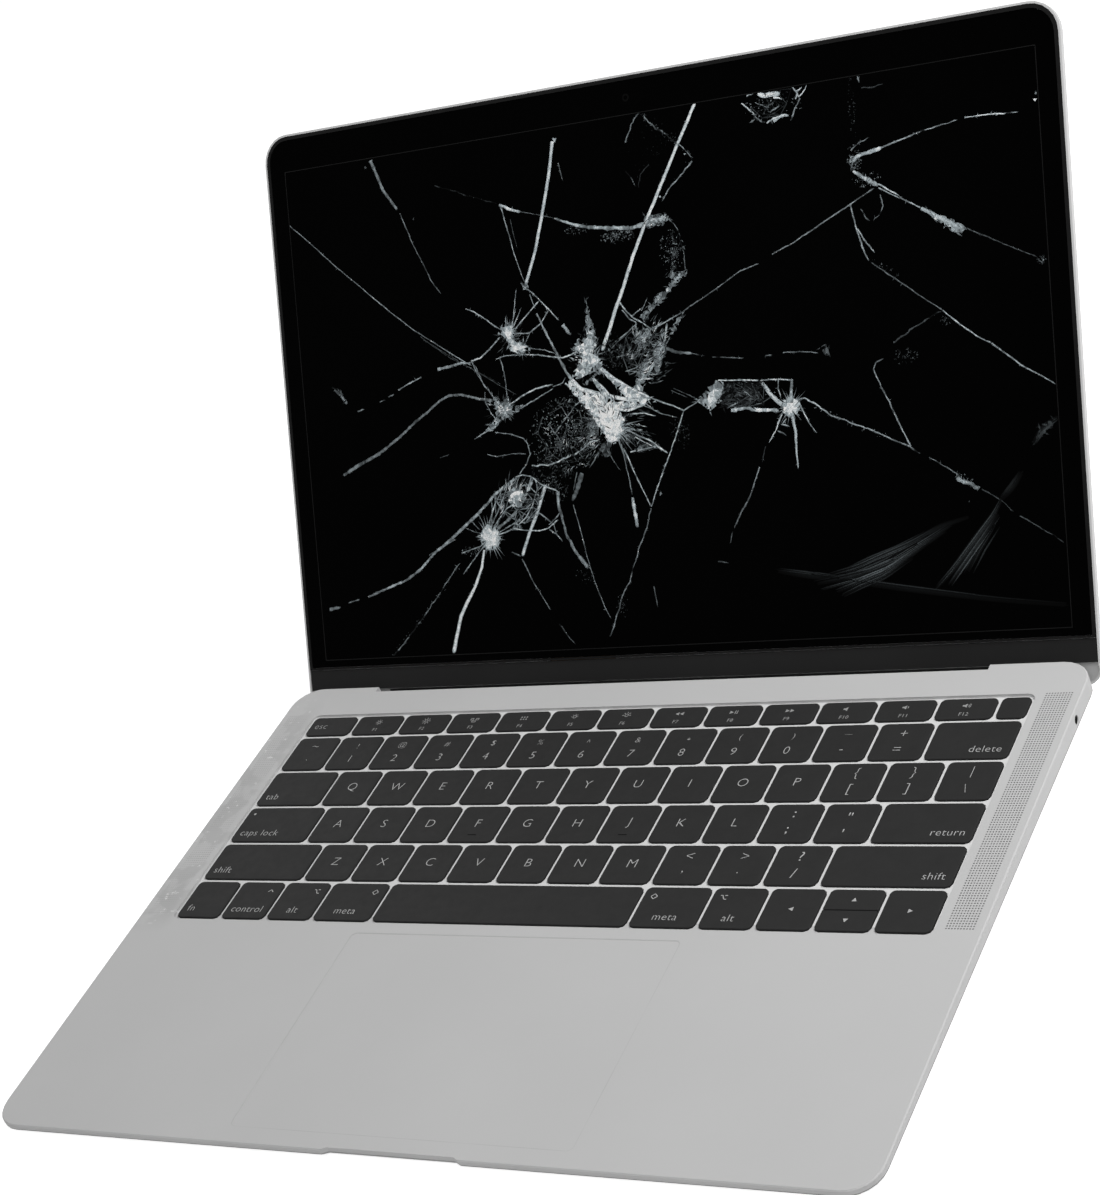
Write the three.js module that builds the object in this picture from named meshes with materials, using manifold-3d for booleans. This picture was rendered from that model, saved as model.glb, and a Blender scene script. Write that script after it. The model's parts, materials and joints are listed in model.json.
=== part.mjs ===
// Broken 13-inch wedge laptop, open, with a shattered display panel. Millimetres, +Z up.
import * as THREE from "three";
import { mergeVertices } from "three/addons/utils/BufferGeometryUtils.js";
import Module from "manifold-3d";

const wasm = await Module();
wasm.setup();

// Driving dimensions of the base
const WIDTH = 304.1;
const DEPTH = 208;
const PLAN_RADIUS = 10;
const FRONT_HEIGHT = 3.6;
const REAR_HEIGHT = 11.4;
const FRONT_WALL = 1.8;
const REAR_WALL = 5.5;
const DECK_THICKNESS = 1.4;
const WALL_THICKNESS = 1.4;
const COVER_THICKNESS = 1.1;
const SEAM = 0.3;
const CLEARANCE = 0.3;
const EDGE_BREAK = 0.35;
const BELLY_INSET = 10;
const CURVE_INSET = 3.5;

// Driving dimensions of the keyboard
const KEYBOARD_SIDE_MARGIN = 15.3;
const KEYBOARD_REAR_MARGIN = 15.9;
const KEYBOARD_UNITS = 14.5;
const KEY_GAP = 0.95;
const KEY_PITCH = (WIDTH - 2 * KEYBOARD_SIDE_MARGIN + KEY_GAP) / KEYBOARD_UNITS;
const ROW_PITCH = 18.14;
const ROW_GAP = 1.09;
const FUNCTION_ROW_HEIGHT = 9.9;
const KEYBOARD_REAR = DEPTH - KEYBOARD_REAR_MARGIN;
const KEYBOARD_FRONT = KEYBOARD_REAR - FUNCTION_ROW_HEIGHT - 5 * ROW_PITCH;
const POWER_KEY_WIDTH = 9.9;
const KEY_RADIUS = 2;
const HOLE_CLEARANCE = 0.2;
const KEY_TOP = -0.25;
const CAP_THICKNESS = 1;
const WELL_DEPTH = 0.9;
const WELL_MARGIN = 1;
const WELL_RADIUS = 3;
const CARRIER_DROP = 0.55;
const CARRIER_THICKNESS = 0.7;
const STEM_SIZE = 4;

// Driving dimensions of the touchpad, the finger notch and the ports
const TOUCHPAD_WIDTH = 119.7;
const TOUCHPAD_FRONT = 6.1;
const TOUCHPAD_REAR_GAP = 5.4;
const TOUCHPAD_REAR = KEYBOARD_FRONT - TOUCHPAD_REAR_GAP;
const TOUCHPAD_RADIUS = 2;
const FINGER_NOTCH_WIDTH = 48.4;
const FINGER_NOTCH_DEPTH = 1.1;
const FINGER_NOTCH_SHIFT = 1.4;
const PORT_LEVEL = -3.1;
const JACK_INSET = 24;
const JACK_POSITION = DEPTH - JACK_INSET;
const JACK_RADIUS = 1.5;
const USB_INSET = 23;
const USB_SPACING = 17;
const USB_WIDTH = 9;
const USB_HEIGHT = 2.6;
const USB_LENGTH = 8;

// Driving dimensions of the hinge
const HINGE_INSET = 4;
const HINGE_DROP = 4.35;
const OPEN_ANGLE = 124.66;
const NOTCH_INSET = 34.25;
const NOTCH_HALF_WIDTH = WIDTH / 2 - NOTCH_INSET;
const NOTCH_DEPTH = 2.7;
const BARREL_RADIUS = 2.5;
const KNUCKLE_LENGTH = 16;
const KNUCKLE_END = NOTCH_HALF_WIDTH - 3.8;
const KNUCKLE_START = KNUCKLE_END - KNUCKLE_LENGTH;
const FLANGE_SPACE = 2;
const BARREL_HALF_LENGTH = KNUCKLE_START - FLANGE_SPACE;
const SHAFT_RADIUS = 1.1;
const LIP_THICKNESS = 0.5;
const LID_RELIEF_RADIUS = 6.2;
const NOTCH_RELIEF_RADIUS = 6.9;

// Driving dimensions of the lid
const LID_THICKNESS = 4;
const LID_REACH = DEPTH - HINGE_INSET - 0.1;
const LID_TAIL = 2.4;
const TAIL_RADIUS = 6;
const LID_BACK = 1.2;
const LID_RIM = 0.7;
const CLOSED_GAP = 0.4;
const GASKET_WIDTH = 1.1;
const SIDE_BEZEL = 8.25;
const TOP_BEZEL = 12.97;
const ACTIVE_START = 15.63;
const ACTIVE_WIDTH = WIDTH - 2 * SIDE_BEZEL;
const ACTIVE_HEIGHT = LID_REACH - TOP_BEZEL - ACTIVE_START;
const GLASS_START = 12.5;
const CHIN_START = 4.9;
const BORDER_THICKNESS = 0.8;
const PANEL_THICKNESS = 2.3;
const PANEL_LINE = 0.3;

// Driving dimensions of what sits inside and underneath
const FOOT_RADIUS = 6;
const FOOT_THICKNESS = 0.8;
const FOOT_INSET = 22;
const SCREW_RADIUS = 1.6;
const SCREW_THICKNESS = 0.5;
const SCREW_EDGE_INSET = 27;
const SCREW_INNER_COLUMN = 45;
const FAN_RADIUS = 18;
const FAN_SIDE_INSET = 62;
const FAN_REAR_INSET = 40;
const FAN_CENTRE = [WIDTH / 2 - FAN_SIDE_INSET, DEPTH - FAN_REAR_INSET];
const FAN_BLADES = 11;
const BOARD_THICKNESS = 1.2;
const BOARD_FAN_SPACE = 10;
const BOARD_HALF_WIDTH = WIDTH / 2 - FAN_SIDE_INSET - FAN_RADIUS - BOARD_FAN_SPACE;
const BOARD_DEPTH = 42;
const BOARD_REAR = DEPTH - 18;
const SPREADER_MARGIN = 8;
const SPREADER_THICKNESS = 1.6;
const BATTERY_HALF_WIDTH = BOARD_HALF_WIDTH + BOARD_FAN_SPACE;
const BATTERY_GAP = 6;
const BATTERY_DEPTH = 44;
const BATTERY_THICKNESS = 2.4;
const FRONT_BATTERY_THICKNESS = 1.6;
const SPEAKER_WIDTH = 15;
const SPEAKER_LENGTH = 54;
const SPEAKER_THICKNESS = 2.4;
const CABLE_START = 22;
const CABLE_WIDTH = 26;

// Plain geometry helpers
const CORNER_STEPS = 6;
const KEY_CORNER_STEPS = 2;

function arc(cx, cy, radius, from, to, steps) {
  const points = [];
  for (let i = 0; i <= steps; i++) {
    const a = THREE.MathUtils.degToRad(from + ((to - from) * i) / steps);
    points.push([cx + radius * Math.cos(a), cy + radius * Math.sin(a)]);
  }
  return points;
}

// A rounded rectangle from its corners, with its own radius at the near and the far end
function roundedBox(x0, y0, x1, y1, radius, steps = CORNER_STEPS, farRadius = radius) {
  return [
    ...arc(x1 - radius, y0 + radius, radius, -90, 0, steps),
    ...arc(x1 - farRadius, y1 - farRadius, farRadius, 0, 90, steps),
    ...arc(x0 + farRadius, y1 - farRadius, farRadius, 90, 180, steps),
    ...arc(x0 + radius, y0 + radius, radius, 180, 270, steps),
  ];
}

function circle(cx, cy, radius, sides) {
  return arc(cx, cy, radius, 0, 360 - 360 / sides, sides - 1);
}

function box(x0, y0, x1, y1) {
  return [[x0, y0], [x1, y0], [x1, y1], [x0, y1]];
}

// Closes a chain of rings, each a list of [x, y, z], with a cap on the first and on the last
function loft(rings) {
  const count = rings[0].length;
  const positions = rings.flat(2);
  const index = [];
  const cap = (ring, start, flip) => {
    const flat = ring.map(([x, y]) => new THREE.Vector2(x, y));
    for (const [a, b, c] of THREE.ShapeUtils.triangulateShape(flat, [])) {
      index.push(start + a, start + (flip ? c : b), start + (flip ? b : c));
    }
  };
  cap(rings[0], 0, false);
  for (let k = 0; k + 1 < rings.length; k++) {
    for (let i = 0; i < count; i++) {
      const j = (i + 1) % count;
      const [a, b] = [k * count + i, k * count + j];
      index.push(a, a + count, b + count, a, b + count, b);
    }
  }
  cap(rings[rings.length - 1], (rings.length - 1) * count, true);
  const geometry = new THREE.BufferGeometry();
  geometry.setAttribute("position", new THREE.Float32BufferAttribute(positions, 3));
  geometry.setIndex(index);
  return solid(geometry);
}

function solid(geometry) {
  for (const name of Object.keys(geometry.attributes)) {
    if (name !== "position") geometry.deleteAttribute(name);
  }
  const merged = mergeVertices(geometry, 1e-5);
  const made = new wasm.Manifold(
    new wasm.Mesh({
      numProp: 3,
      vertProperties: new Float32Array(merged.attributes.position.array),
      triVerts: new Uint32Array(merged.index.array),
    }),
  );
  return made;
}

function prism(outline, z0, z1) {
  return loft([outline.map(([x, y]) => [x, y, z1]), outline.map(([x, y]) => [x, y, z0])]);
}

// A prism along X from an outline in Y and Z
function prismAlongX(outline, x0, x1) {
  const upright = prism(outline, x0, x1);
  return upright.transform([0, 1, 0, 0, 0, 0, 1, 0, 1, 0, 0, 0, 0, 0, 0, 1]);
}

function joined(solids) {
  return solids.reduce((sum, next) => sum.add(next));
}

function meshFrom(name, shape, material) {
  const { vertProperties, triVerts } = shape.getMesh();
  const geometry = new THREE.BufferGeometry();
  geometry.setAttribute("position", new THREE.BufferAttribute(new Float32Array(vertProperties), 3));
  geometry.setIndex(new THREE.BufferAttribute(new Uint32Array(triVerts), 1));
  geometry.computeVertexNormals();
  const mesh = new THREE.Mesh(geometry, material);
  mesh.name = name;
  return mesh;
}

// Materials
function finish(color, roughness, metalness) {
  return () => new THREE.MeshStandardMaterial({ color, roughness, metalness });
}
const aluminium = finish(0xb4b6b8, 0.42, 0.9);
const keyPlastic = finish(0x303032, 0.62, 0);
const blackGlass = finish(0x050506, 0.12, 0);
const chinPlastic = finish(0x1c1c1e, 0.55, 0);
const rubber = finish(0x202022, 0.9, 0);
const battery = finish(0x2a2a2c, 0.7, 0);
const circuit = finish(0x16361f, 0.6, 0);
const copper = finish(0xa8683a, 0.4, 0.9);
const steel = finish(0x8c8e92, 0.35, 0.9);
const darkPlastic = finish(0x151517, 0.6, 0);
const flexPlastic = finish(0x5a3d16, 0.5, 0);

// Levels that follow the wedge, all measured down from the deck at a place along the depth
const along = (front, rear, y) => front + ((rear - front) * y) / DEPTH;
const bellyDrop = (y) => along(FRONT_HEIGHT, REAR_HEIGHT, y);
const wallDrop = (y) => along(FRONT_WALL, REAR_WALL, y);
const HALF = WIDTH / 2;
const TILT = Math.atan((REAR_HEIGHT - FRONT_HEIGHT) / DEPTH);

function baseRing(inset, level) {
  const radius = Math.max(PLAN_RADIUS - inset, 1);
  const outline = roundedBox(-HALF + inset, inset, HALF - inset, DEPTH - inset, radius);
  return outline.map(([x, y]) => [x, y, -level(y)]);
}

// The finger notch that the lid is opened with, cut through the front edge
function fingerNotch() {
  const half = FINGER_NOTCH_WIDTH / 2;
  const slope = 2 * FINGER_NOTCH_DEPTH;
  const outline = [
    [FINGER_NOTCH_SHIFT - half, -1],
    [FINGER_NOTCH_SHIFT + half, -1],
    [FINGER_NOTCH_SHIFT + half, 0],
    [FINGER_NOTCH_SHIFT + half - slope, FINGER_NOTCH_DEPTH],
    [FINGER_NOTCH_SHIFT - half + slope, FINGER_NOTCH_DEPTH],
    [FINGER_NOTCH_SHIFT - half, 0],
  ];
  return prism(outline, -FRONT_HEIGHT - 1, 1);
}

// Keyboard layout, from the row nearest the user, widths in key units
const KEYBOARD_WIDTH = KEYBOARD_UNITS * KEY_PITCH - KEY_GAP;
const KEYBOARD_LEFT = -KEYBOARD_WIDTH / 2;
const like = (count) => Array(count).fill(["", 1]);
const ROWS = [
  [
    ["fn", 1], ["control", 1], ["option_left", 1], ["meta_left", 1.25], ["space", 5],
    ["meta_right", 1.25], ["option_right", 1], ["arrow_left", 1], ["arrow_up_down", 1], ["arrow_right", 1],
  ],
  [["shift_left", 2.25], ...like(10), ["shift_right", 2.25]],
  [["caps_lock", 1.75], ...like(11), ["return", 1.75]],
  [["tab", 1.5], ...like(13)],
  [...like(13), ["delete", 1.5]],
];

function layKeys() {
  const keys = [];
  ROWS.forEach((row, level) => {
    const y0 = KEYBOARD_FRONT + level * ROW_PITCH;
    const y1 = y0 + ROW_PITCH - ROW_GAP;
    let x = KEYBOARD_LEFT;
    for (const [name, units] of row) {
      keys.push({ name, x0: x, y0, x1: x + units * KEY_PITCH - KEY_GAP, y1 });
      x += units * KEY_PITCH;
    }
  });
  const y0 = KEYBOARD_REAR - FUNCTION_ROW_HEIGHT;
  const pitch = (KEYBOARD_WIDTH - POWER_KEY_WIDTH) / 13;
  for (let i = 0; i < 13; i++) {
    const x0 = KEYBOARD_LEFT + i * pitch;
    keys.push({ name: i ? "" : "esc", x0, y0, x1: x0 + pitch - KEY_GAP, y1: KEYBOARD_REAR });
  }
  const x0 = KEYBOARD_LEFT + KEYBOARD_WIDTH - POWER_KEY_WIDTH;
  keys.push({ name: "power", x0, y0, x1: x0 + POWER_KEY_WIDTH, y1: KEYBOARD_REAR });
  return keys;
}
const KEYS = layKeys();

function keyOutline({ x0, y0, x1, y1 }, inset) {
  return roundedBox(x0 + inset, y0 + inset, x1 - inset, y1 - inset, KEY_RADIUS - inset, KEY_CORNER_STEPS);
}

function cap(key) {
  return prism(keyOutline(key, HOLE_CLEARANCE), KEY_TOP - CAP_THICKNESS, KEY_TOP);
}

// Splits the shared hole of the two half-height arrow keys
function arrowPair(key) {
  const middle = (key.y0 + key.y1) / 2;
  const split = CLEARANCE / 2;
  const whole = cap(key);
  const above = prism(box(key.x0, middle + split, key.x1, key.y1), -CAP_THICKNESS - 1, 1);
  const below = prism(box(key.x0, key.y0, key.x1, middle - split), -CAP_THICKNESS - 1, 1);
  return [["key_arrow_up", whole.intersect(above)], ["key_arrow_down", whole.intersect(below)]];
}

function movingKeys() {
  return KEYS.filter((key) => key.name).flatMap((key) =>
    key.name === "arrow_up_down" ? arrowPair(key) : [["key_" + key.name, cap(key)]],
  );
}

// The carrier under the deck, with the equal keys standing on it
const CARRIER_TOP = -DECK_THICKNESS - CARRIER_DROP;
function keyboardPlate() {
  const margin = WELL_MARGIN / 2;
  const [left, right] = [KEYBOARD_LEFT - margin, KEYBOARD_LEFT + KEYBOARD_WIDTH + margin];
  const plate = prism(
    box(left, KEYBOARD_FRONT - margin, right, KEYBOARD_REAR + margin),
    CARRIER_TOP - CARRIER_THICKNESS,
    CARRIER_TOP,
  );
  const parts = [plate];
  for (const key of KEYS.filter((k) => !k.name)) {
    const [cx, cy] = [(key.x0 + key.x1) / 2, (key.y0 + key.y1) / 2];
    const half = STEM_SIZE / 2;
    const bury = 0.2;
    parts.push(cap(key));
    parts.push(
      prism(
        box(cx - half, cy - half, cx + half, cy + half),
        CARRIER_TOP - bury,
        KEY_TOP - CAP_THICKNESS + bury,
      ),
    );
  }
  return joined(parts);
}

function touchpadOutline(inset) {
  const half = TOUCHPAD_WIDTH / 2 - inset;
  const [front, rear] = [TOUCHPAD_FRONT + inset, TOUCHPAD_REAR - inset];
  return roundedBox(-half, front, half, rear, TOUCHPAD_RADIUS - inset, 3);
}

// Deck and side walls in one shell, cut for the keys, touchpad, hinge and ports
function topCase() {
  const floor = -REAR_WALL - 1;
  const shell = loft([
    baseRing(EDGE_BREAK, () => 0),
    baseRing(0, () => EDGE_BREAK),
    baseRing(0, wallDrop),
    baseRing(WALL_THICKNESS, wallDrop),
    baseRing(WALL_THICKNESS, () => DECK_THICKNESS),
  ]);
  const well = prism(
    roundedBox(
      KEYBOARD_LEFT - WELL_MARGIN,
      KEYBOARD_FRONT - WELL_MARGIN,
      KEYBOARD_LEFT + KEYBOARD_WIDTH + WELL_MARGIN,
      KEYBOARD_REAR + WELL_MARGIN,
      WELL_RADIUS,
      4,
    ),
    -WELL_DEPTH,
    1,
  );
  const holes = KEYS.map((key) => prism(keyOutline(key, 0), floor, 1));
  const touchpad = prism(touchpadOutline(0), floor, 1);
  const hinge = prism(
    box(-NOTCH_HALF_WIDTH, DEPTH - NOTCH_DEPTH, NOTCH_HALF_WIDTH, DEPTH + 1),
    floor,
    1,
  );
  const jack = prismAlongX(circle(JACK_POSITION, PORT_LEVEL, JACK_RADIUS, 16), HALF - 3, HALF + 1);
  const usb = [usbPosition(0), usbPosition(1)].map((y) =>
    prismAlongX(slot(y, USB_WIDTH, USB_HEIGHT), -HALF - 1, -HALF + 3),
  );
  return [well, ...holes, touchpad, hinge, fingerNotch(), jack, ...usb].reduce(
    (rest, cut) => rest.subtract(cut),
    shell,
  );
}

// The two sockets in the left wall, counted from the rear
function usbPosition(count) {
  return DEPTH - USB_INSET - count * USB_SPACING;
}

// A round-ended slot in a side wall, in Y and Z
function slot(y, width, height) {
  const radius = height / 2;
  return [
    ...arc(y + width / 2 - radius, PORT_LEVEL, radius, -90, 90, 6),
    ...arc(y - width / 2 + radius, PORT_LEVEL, radius, 90, 270, 6),
  ];
}

function bottomCover() {
  const rim = (y) => wallDrop(y) + SEAM;
  const curve = (y) => rim(y) + 0.6 * (bellyDrop(y) - rim(y));
  const inner = (y) => bellyDrop(y) - COVER_THICKNESS;
  const innerCurve = (y) => rim(y) + 0.6 * (inner(y) - rim(y));
  const tray = loft([
    baseRing(BELLY_INSET + COVER_THICKNESS, inner),
    baseRing(CURVE_INSET + COVER_THICKNESS, innerCurve),
    baseRing(WALL_THICKNESS, rim),
    baseRing(0, rim),
    baseRing(CURVE_INSET, curve),
    baseRing(BELLY_INSET, bellyDrop),
  ]);
  const axis = [DEPTH - HINGE_INSET, -HINGE_DROP];
  const relief = prismAlongX(
    circle(...axis, NOTCH_RELIEF_RADIUS, 32),
    -NOTCH_HALF_WIDTH,
    NOTCH_HALF_WIDTH,
  );
  const behind = prism(
    box(-NOTCH_HALF_WIDTH, DEPTH - NOTCH_DEPTH, NOTCH_HALF_WIDTH, DEPTH + 1),
    -REAR_HEIGHT - 1,
    0,
  );
  return tray.subtract(relief).subtract(behind).subtract(fingerNotch());
}

// A frame standing on the inside of the bottom cover, level with the belly
function level(geometrySolid, drop) {
  const degrees = THREE.MathUtils.radToDeg(TILT);
  return geometrySolid.rotate([-degrees, 0, 0]).translate([0, 0, -FRONT_HEIGHT + drop]);
}
const FLOOR_EDGE = HALF - BELLY_INSET - COVER_THICKNESS - 1;
const onFloor = (shape) => level(shape, COVER_THICKNESS);
const underBelly = (shape) => level(shape, 0);

function screwHeads() {
  const spots = [];
  const outer = HALF - SCREW_EDGE_INSET;
  for (const y of [16, DEPTH - 14]) {
    for (const x of [-outer, -SCREW_INNER_COLUMN, SCREW_INNER_COLUMN, outer]) spots.push([x, y]);
  }
  for (const x of [-HALF + 14, HALF - 14]) spots.push([x, DEPTH / 2]);
  const bury = 0.3;
  return spots.map(([x, y]) => underBelly(prism(circle(x, y, SCREW_RADIUS, 12), -SCREW_THICKNESS, bury)));
}

function feet() {
  const places = {
    foot_front_left: [-HALF + FOOT_INSET, FOOT_INSET],
    foot_front_right: [HALF - FOOT_INSET, FOOT_INSET],
    foot_rear_left: [-HALF + FOOT_INSET, DEPTH - FOOT_INSET - 4],
    foot_rear_right: [HALF - FOOT_INSET, DEPTH - FOOT_INSET - 4],
  };
  return Object.entries(places).map(([name, [x, y]]) => [
    name,
    underBelly(prism(circle(x, y, FOOT_RADIUS, 24), -CLEARANCE - FOOT_THICKNESS, -CLEARANCE)),
  ]);
}

function batteryCells() {
  const [outer, inner] = [FLOOR_EDGE, TOUCHPAD_WIDTH / 2 + 8];
  const frontEnd = TOUCHPAD_REAR - 2;
  const rearStart = KEYBOARD_FRONT + 2;
  const cell = (x0, y0, x1, y1, thickness) =>
    onFloor(prism(box(x0, y0, x1, y1), CLEARANCE, CLEARANCE + thickness));
  const front = (x0, x1) => cell(x0, frontEnd - BATTERY_DEPTH, x1, frontEnd, FRONT_BATTERY_THICKNESS);
  const rear = (x0, x1) => cell(x0, rearStart, x1, rearStart + BATTERY_DEPTH, BATTERY_THICKNESS);
  return [
    ["battery_front_left", front(-outer, -inner)],
    ["battery_front_right", front(inner, outer)],
    ["battery_rear_left", rear(-BATTERY_HALF_WIDTH, -BATTERY_GAP / 2)],
    ["battery_rear_right", rear(BATTERY_GAP / 2, BATTERY_HALF_WIDTH)],
  ];
}

const BOARD_LEVEL = 0.4;
function mainBoard() {
  const outline = box(-BOARD_HALF_WIDTH, BOARD_REAR - BOARD_DEPTH, BOARD_HALF_WIDTH, BOARD_REAR);
  return onFloor(prism(outline, BOARD_LEVEL, BOARD_LEVEL + BOARD_THICKNESS));
}

function heatSpreader() {
  const start = BOARD_LEVEL + BOARD_THICKNESS + CLEARANCE;
  const outline = roundedBox(
    -BOARD_HALF_WIDTH / 2,
    BOARD_REAR - BOARD_DEPTH + SPREADER_MARGIN,
    BOARD_HALF_WIDTH - SPREADER_MARGIN,
    BOARD_REAR - SPREADER_MARGIN,
    3,
    3,
  );
  return onFloor(prism(outline, start, start + SPREADER_THICKNESS));
}

// The fan: a flat housing with an inlet on top and a pin that carries the rotor
const FAN_FLOOR = 0.4;
const FAN_TOP = 4.6;
const FAN_WALL = 0.7;
const FAN_PIN_RADIUS = 1.4;
function fanHousing() {
  const [cx, cy] = FAN_CENTRE;
  const reach = FAN_RADIUS + 3;
  const body = prism(roundedBox(cx - reach, cy - reach, cx + reach, cy + reach, 6, 4), FAN_FLOOR, FAN_TOP);
  const cavity = prism(circle(cx, cy, FAN_RADIUS + 1, 40), FAN_FLOOR + FAN_WALL, FAN_TOP - FAN_WALL);
  const inlet = prism(circle(cx, cy, FAN_RADIUS * 0.7, 32), FAN_TOP - 2 * FAN_WALL, FAN_TOP + 1);
  const outlet = prism(box(cx - 14, cy, cx + 14, cy + reach + 1), FAN_FLOOR + FAN_WALL, FAN_TOP - FAN_WALL);
  const pin = prism(circle(cx, cy, FAN_PIN_RADIUS, 16), FAN_FLOOR, FAN_TOP - 2 * FAN_WALL);
  return onFloor(body.subtract(cavity).subtract(inlet).subtract(outlet).add(pin));
}

function fanRotor() {
  const [cx, cy] = FAN_CENTRE;
  const [low, high] = [FAN_FLOOR + FAN_WALL + CLEARANCE, FAN_TOP - FAN_WALL - CLEARANCE];
  const hubRadius = 7;
  const parts = [prism(circle(cx, cy, hubRadius, 24), low, high)];
  for (let i = 0; i < FAN_BLADES; i++) {
    const blade = prism(box(hubRadius - 1, -0.35, FAN_RADIUS, 0.35), low, high);
    parts.push(blade.rotate([0, 0, (360 * i) / FAN_BLADES]).translate([cx, cy, 0]));
  }
  const bore = prism(circle(cx, cy, FAN_PIN_RADIUS + CLEARANCE, 16), low - 1, high + 1);
  return onFloor(joined(parts).subtract(bore));
}

function speaker(side) {
  const [x0, x1] = [FLOOR_EDGE - SPEAKER_WIDTH, FLOOR_EDGE];
  const [y0, y1] = [KEYBOARD_FRONT + 4.5, KEYBOARD_FRONT + 4.5 + SPEAKER_LENGTH];
  const outline = side > 0 ? box(x0, y0, x1, y1) : box(-x1, y0, -x0, y1);
  return onFloor(prism(outline, CLEARANCE, CLEARANCE + SPEAKER_THICKNESS));
}

function usbPort(y) {
  const wall = 0.25;
  const face = -HALF + WALL_THICKNESS + CLEARANCE;
  const body = prismAlongX(slot(y, USB_WIDTH, USB_HEIGHT - 0.2), face, face + USB_LENGTH);
  const hollow = slot(y, USB_WIDTH - 4 * wall, USB_HEIGHT - 0.2 - 2 * wall);
  const socket = prismAlongX(hollow, face - 1, face + 0.8 * USB_LENGTH);
  return body.subtract(socket);
}

function headphoneJack() {
  const face = HALF - WALL_THICKNESS - CLEARANCE;
  const half = 3.6;
  const body = prismAlongX(
    box(JACK_POSITION - half, PORT_LEVEL - 2.1, JACK_POSITION + half, -DECK_THICKNESS - CLEARANCE),
    face - 11,
    face,
  );
  const bore = circle(JACK_POSITION, PORT_LEVEL, JACK_RADIUS - 0.2, 16);
  return body.subtract(prismAlongX(bore, face - 9, face + 1));
}

function touchpadBracket() {
  const half = TOUCHPAD_WIDTH / 2 + 3;
  const top = -DECK_THICKNESS - CLEARANCE;
  const [front, rear] = [TOUCHPAD_FRONT + 10, TOUCHPAD_REAR - 2];
  const plate = prism(box(-half, front, half, rear), top - 0.6, top);
  return plate.subtract(prism(box(-half * 0.6, front + 14, half * 0.6, rear - 22), top - 1, top + 1));
}

// Base side of each hinge: a knuckle round the shaft and a leaf under the deck
const AXIS_Y = DEPTH - HINGE_INSET;
function hingeBracket(side) {
  const knuckle = prismAlongX(circle(AXIS_Y, -HINGE_DROP, BARREL_RADIUS, 24), KNUCKLE_START, KNUCKLE_END);
  const top = -DECK_THICKNESS - CLEARANCE;
  const leaf = prismAlongX(
    box(KEYBOARD_REAR + 2, top - 1.2, AXIS_Y, top - 0.1),
    KNUCKLE_START,
    KNUCKLE_END,
  );
  const bore = prismAlongX(
    circle(AXIS_Y, -HINGE_DROP, SHAFT_RADIUS + CLEARANCE, 20),
    KNUCKLE_START - 1,
    KNUCKLE_END + 1,
  );
  const right = knuckle.add(leaf).subtract(bore);
  return side > 0 ? right : right.mirror([1, 0, 0]);
}

// Lid frame: x across, y up the lid from the hinge axis, z out of the screen towards the user
const GLASS_LEVEL = -(HINGE_DROP + CLOSED_GAP);

function lidOutline(inset) {
  const tail = Math.max(TAIL_RADIUS - inset, 1);
  const top = Math.max(PLAN_RADIUS - inset, 1);
  const [side, near, far] = [HALF - inset, -LID_TAIL + inset, LID_REACH - inset];
  return roundedBox(-side, near, side, far, tail, CORNER_STEPS, top);
}

function lidShell() {
  const ring = (inset, drop) => lidOutline(inset).map(([x, y]) => [x, y, GLASS_LEVEL - drop]);
  const tray = loft([
    ring(LID_RIM, LID_THICKNESS - LID_BACK),
    ring(LID_RIM, 0),
    ring(0, 0),
    ring(0, LID_THICKNESS * 0.5),
    ring(1, LID_THICKNESS * 0.85),
    ring(2.6, LID_THICKNESS),
  ]);
  return tray.subtract(prismAlongX(circle(0, 0, LID_RELIEF_RADIUS, 40), -HALF - 1, HALF + 1));
}

// A flat outline inside the rim, from a height on the lid up to the top edge
function screenOutline(inset, start) {
  const top = Math.max(PLAN_RADIUS - inset, 1);
  return roundedBox(-HALF + inset, start, HALF - inset, LID_REACH - inset, 0.6, CORNER_STEPS, top);
}

const GASKET_INSET = LID_RIM + 0.2;
const BORDER_INSET = GASKET_INSET + GASKET_WIDTH + 0.2;
function lidGasket() {
  const ring = prism(screenOutline(GASKET_INSET, GLASS_START - 0.1), GLASS_LEVEL - 1.4, GLASS_LEVEL + 0.15);
  return ring.subtract(
    prism(
      screenOutline(GASKET_INSET + GASKET_WIDTH, GLASS_START + 0.5),
      GLASS_LEVEL - 2,
      GLASS_LEVEL + 1,
    ),
  );
}

function activeArea(inset) {
  const half = ACTIVE_WIDTH / 2 - inset;
  return box(-half, ACTIVE_START + inset, half, ACTIVE_START + ACTIVE_HEIGHT - inset);
}

function screenBorder() {
  const front = GLASS_LEVEL - 0.1;
  const plate = prism(screenOutline(BORDER_INSET, GLASS_START + 0.7), front - BORDER_THICKNESS, front);
  return plate.subtract(prism(activeArea(0), front - BORDER_THICKNESS - 1, front + 1));
}

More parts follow.
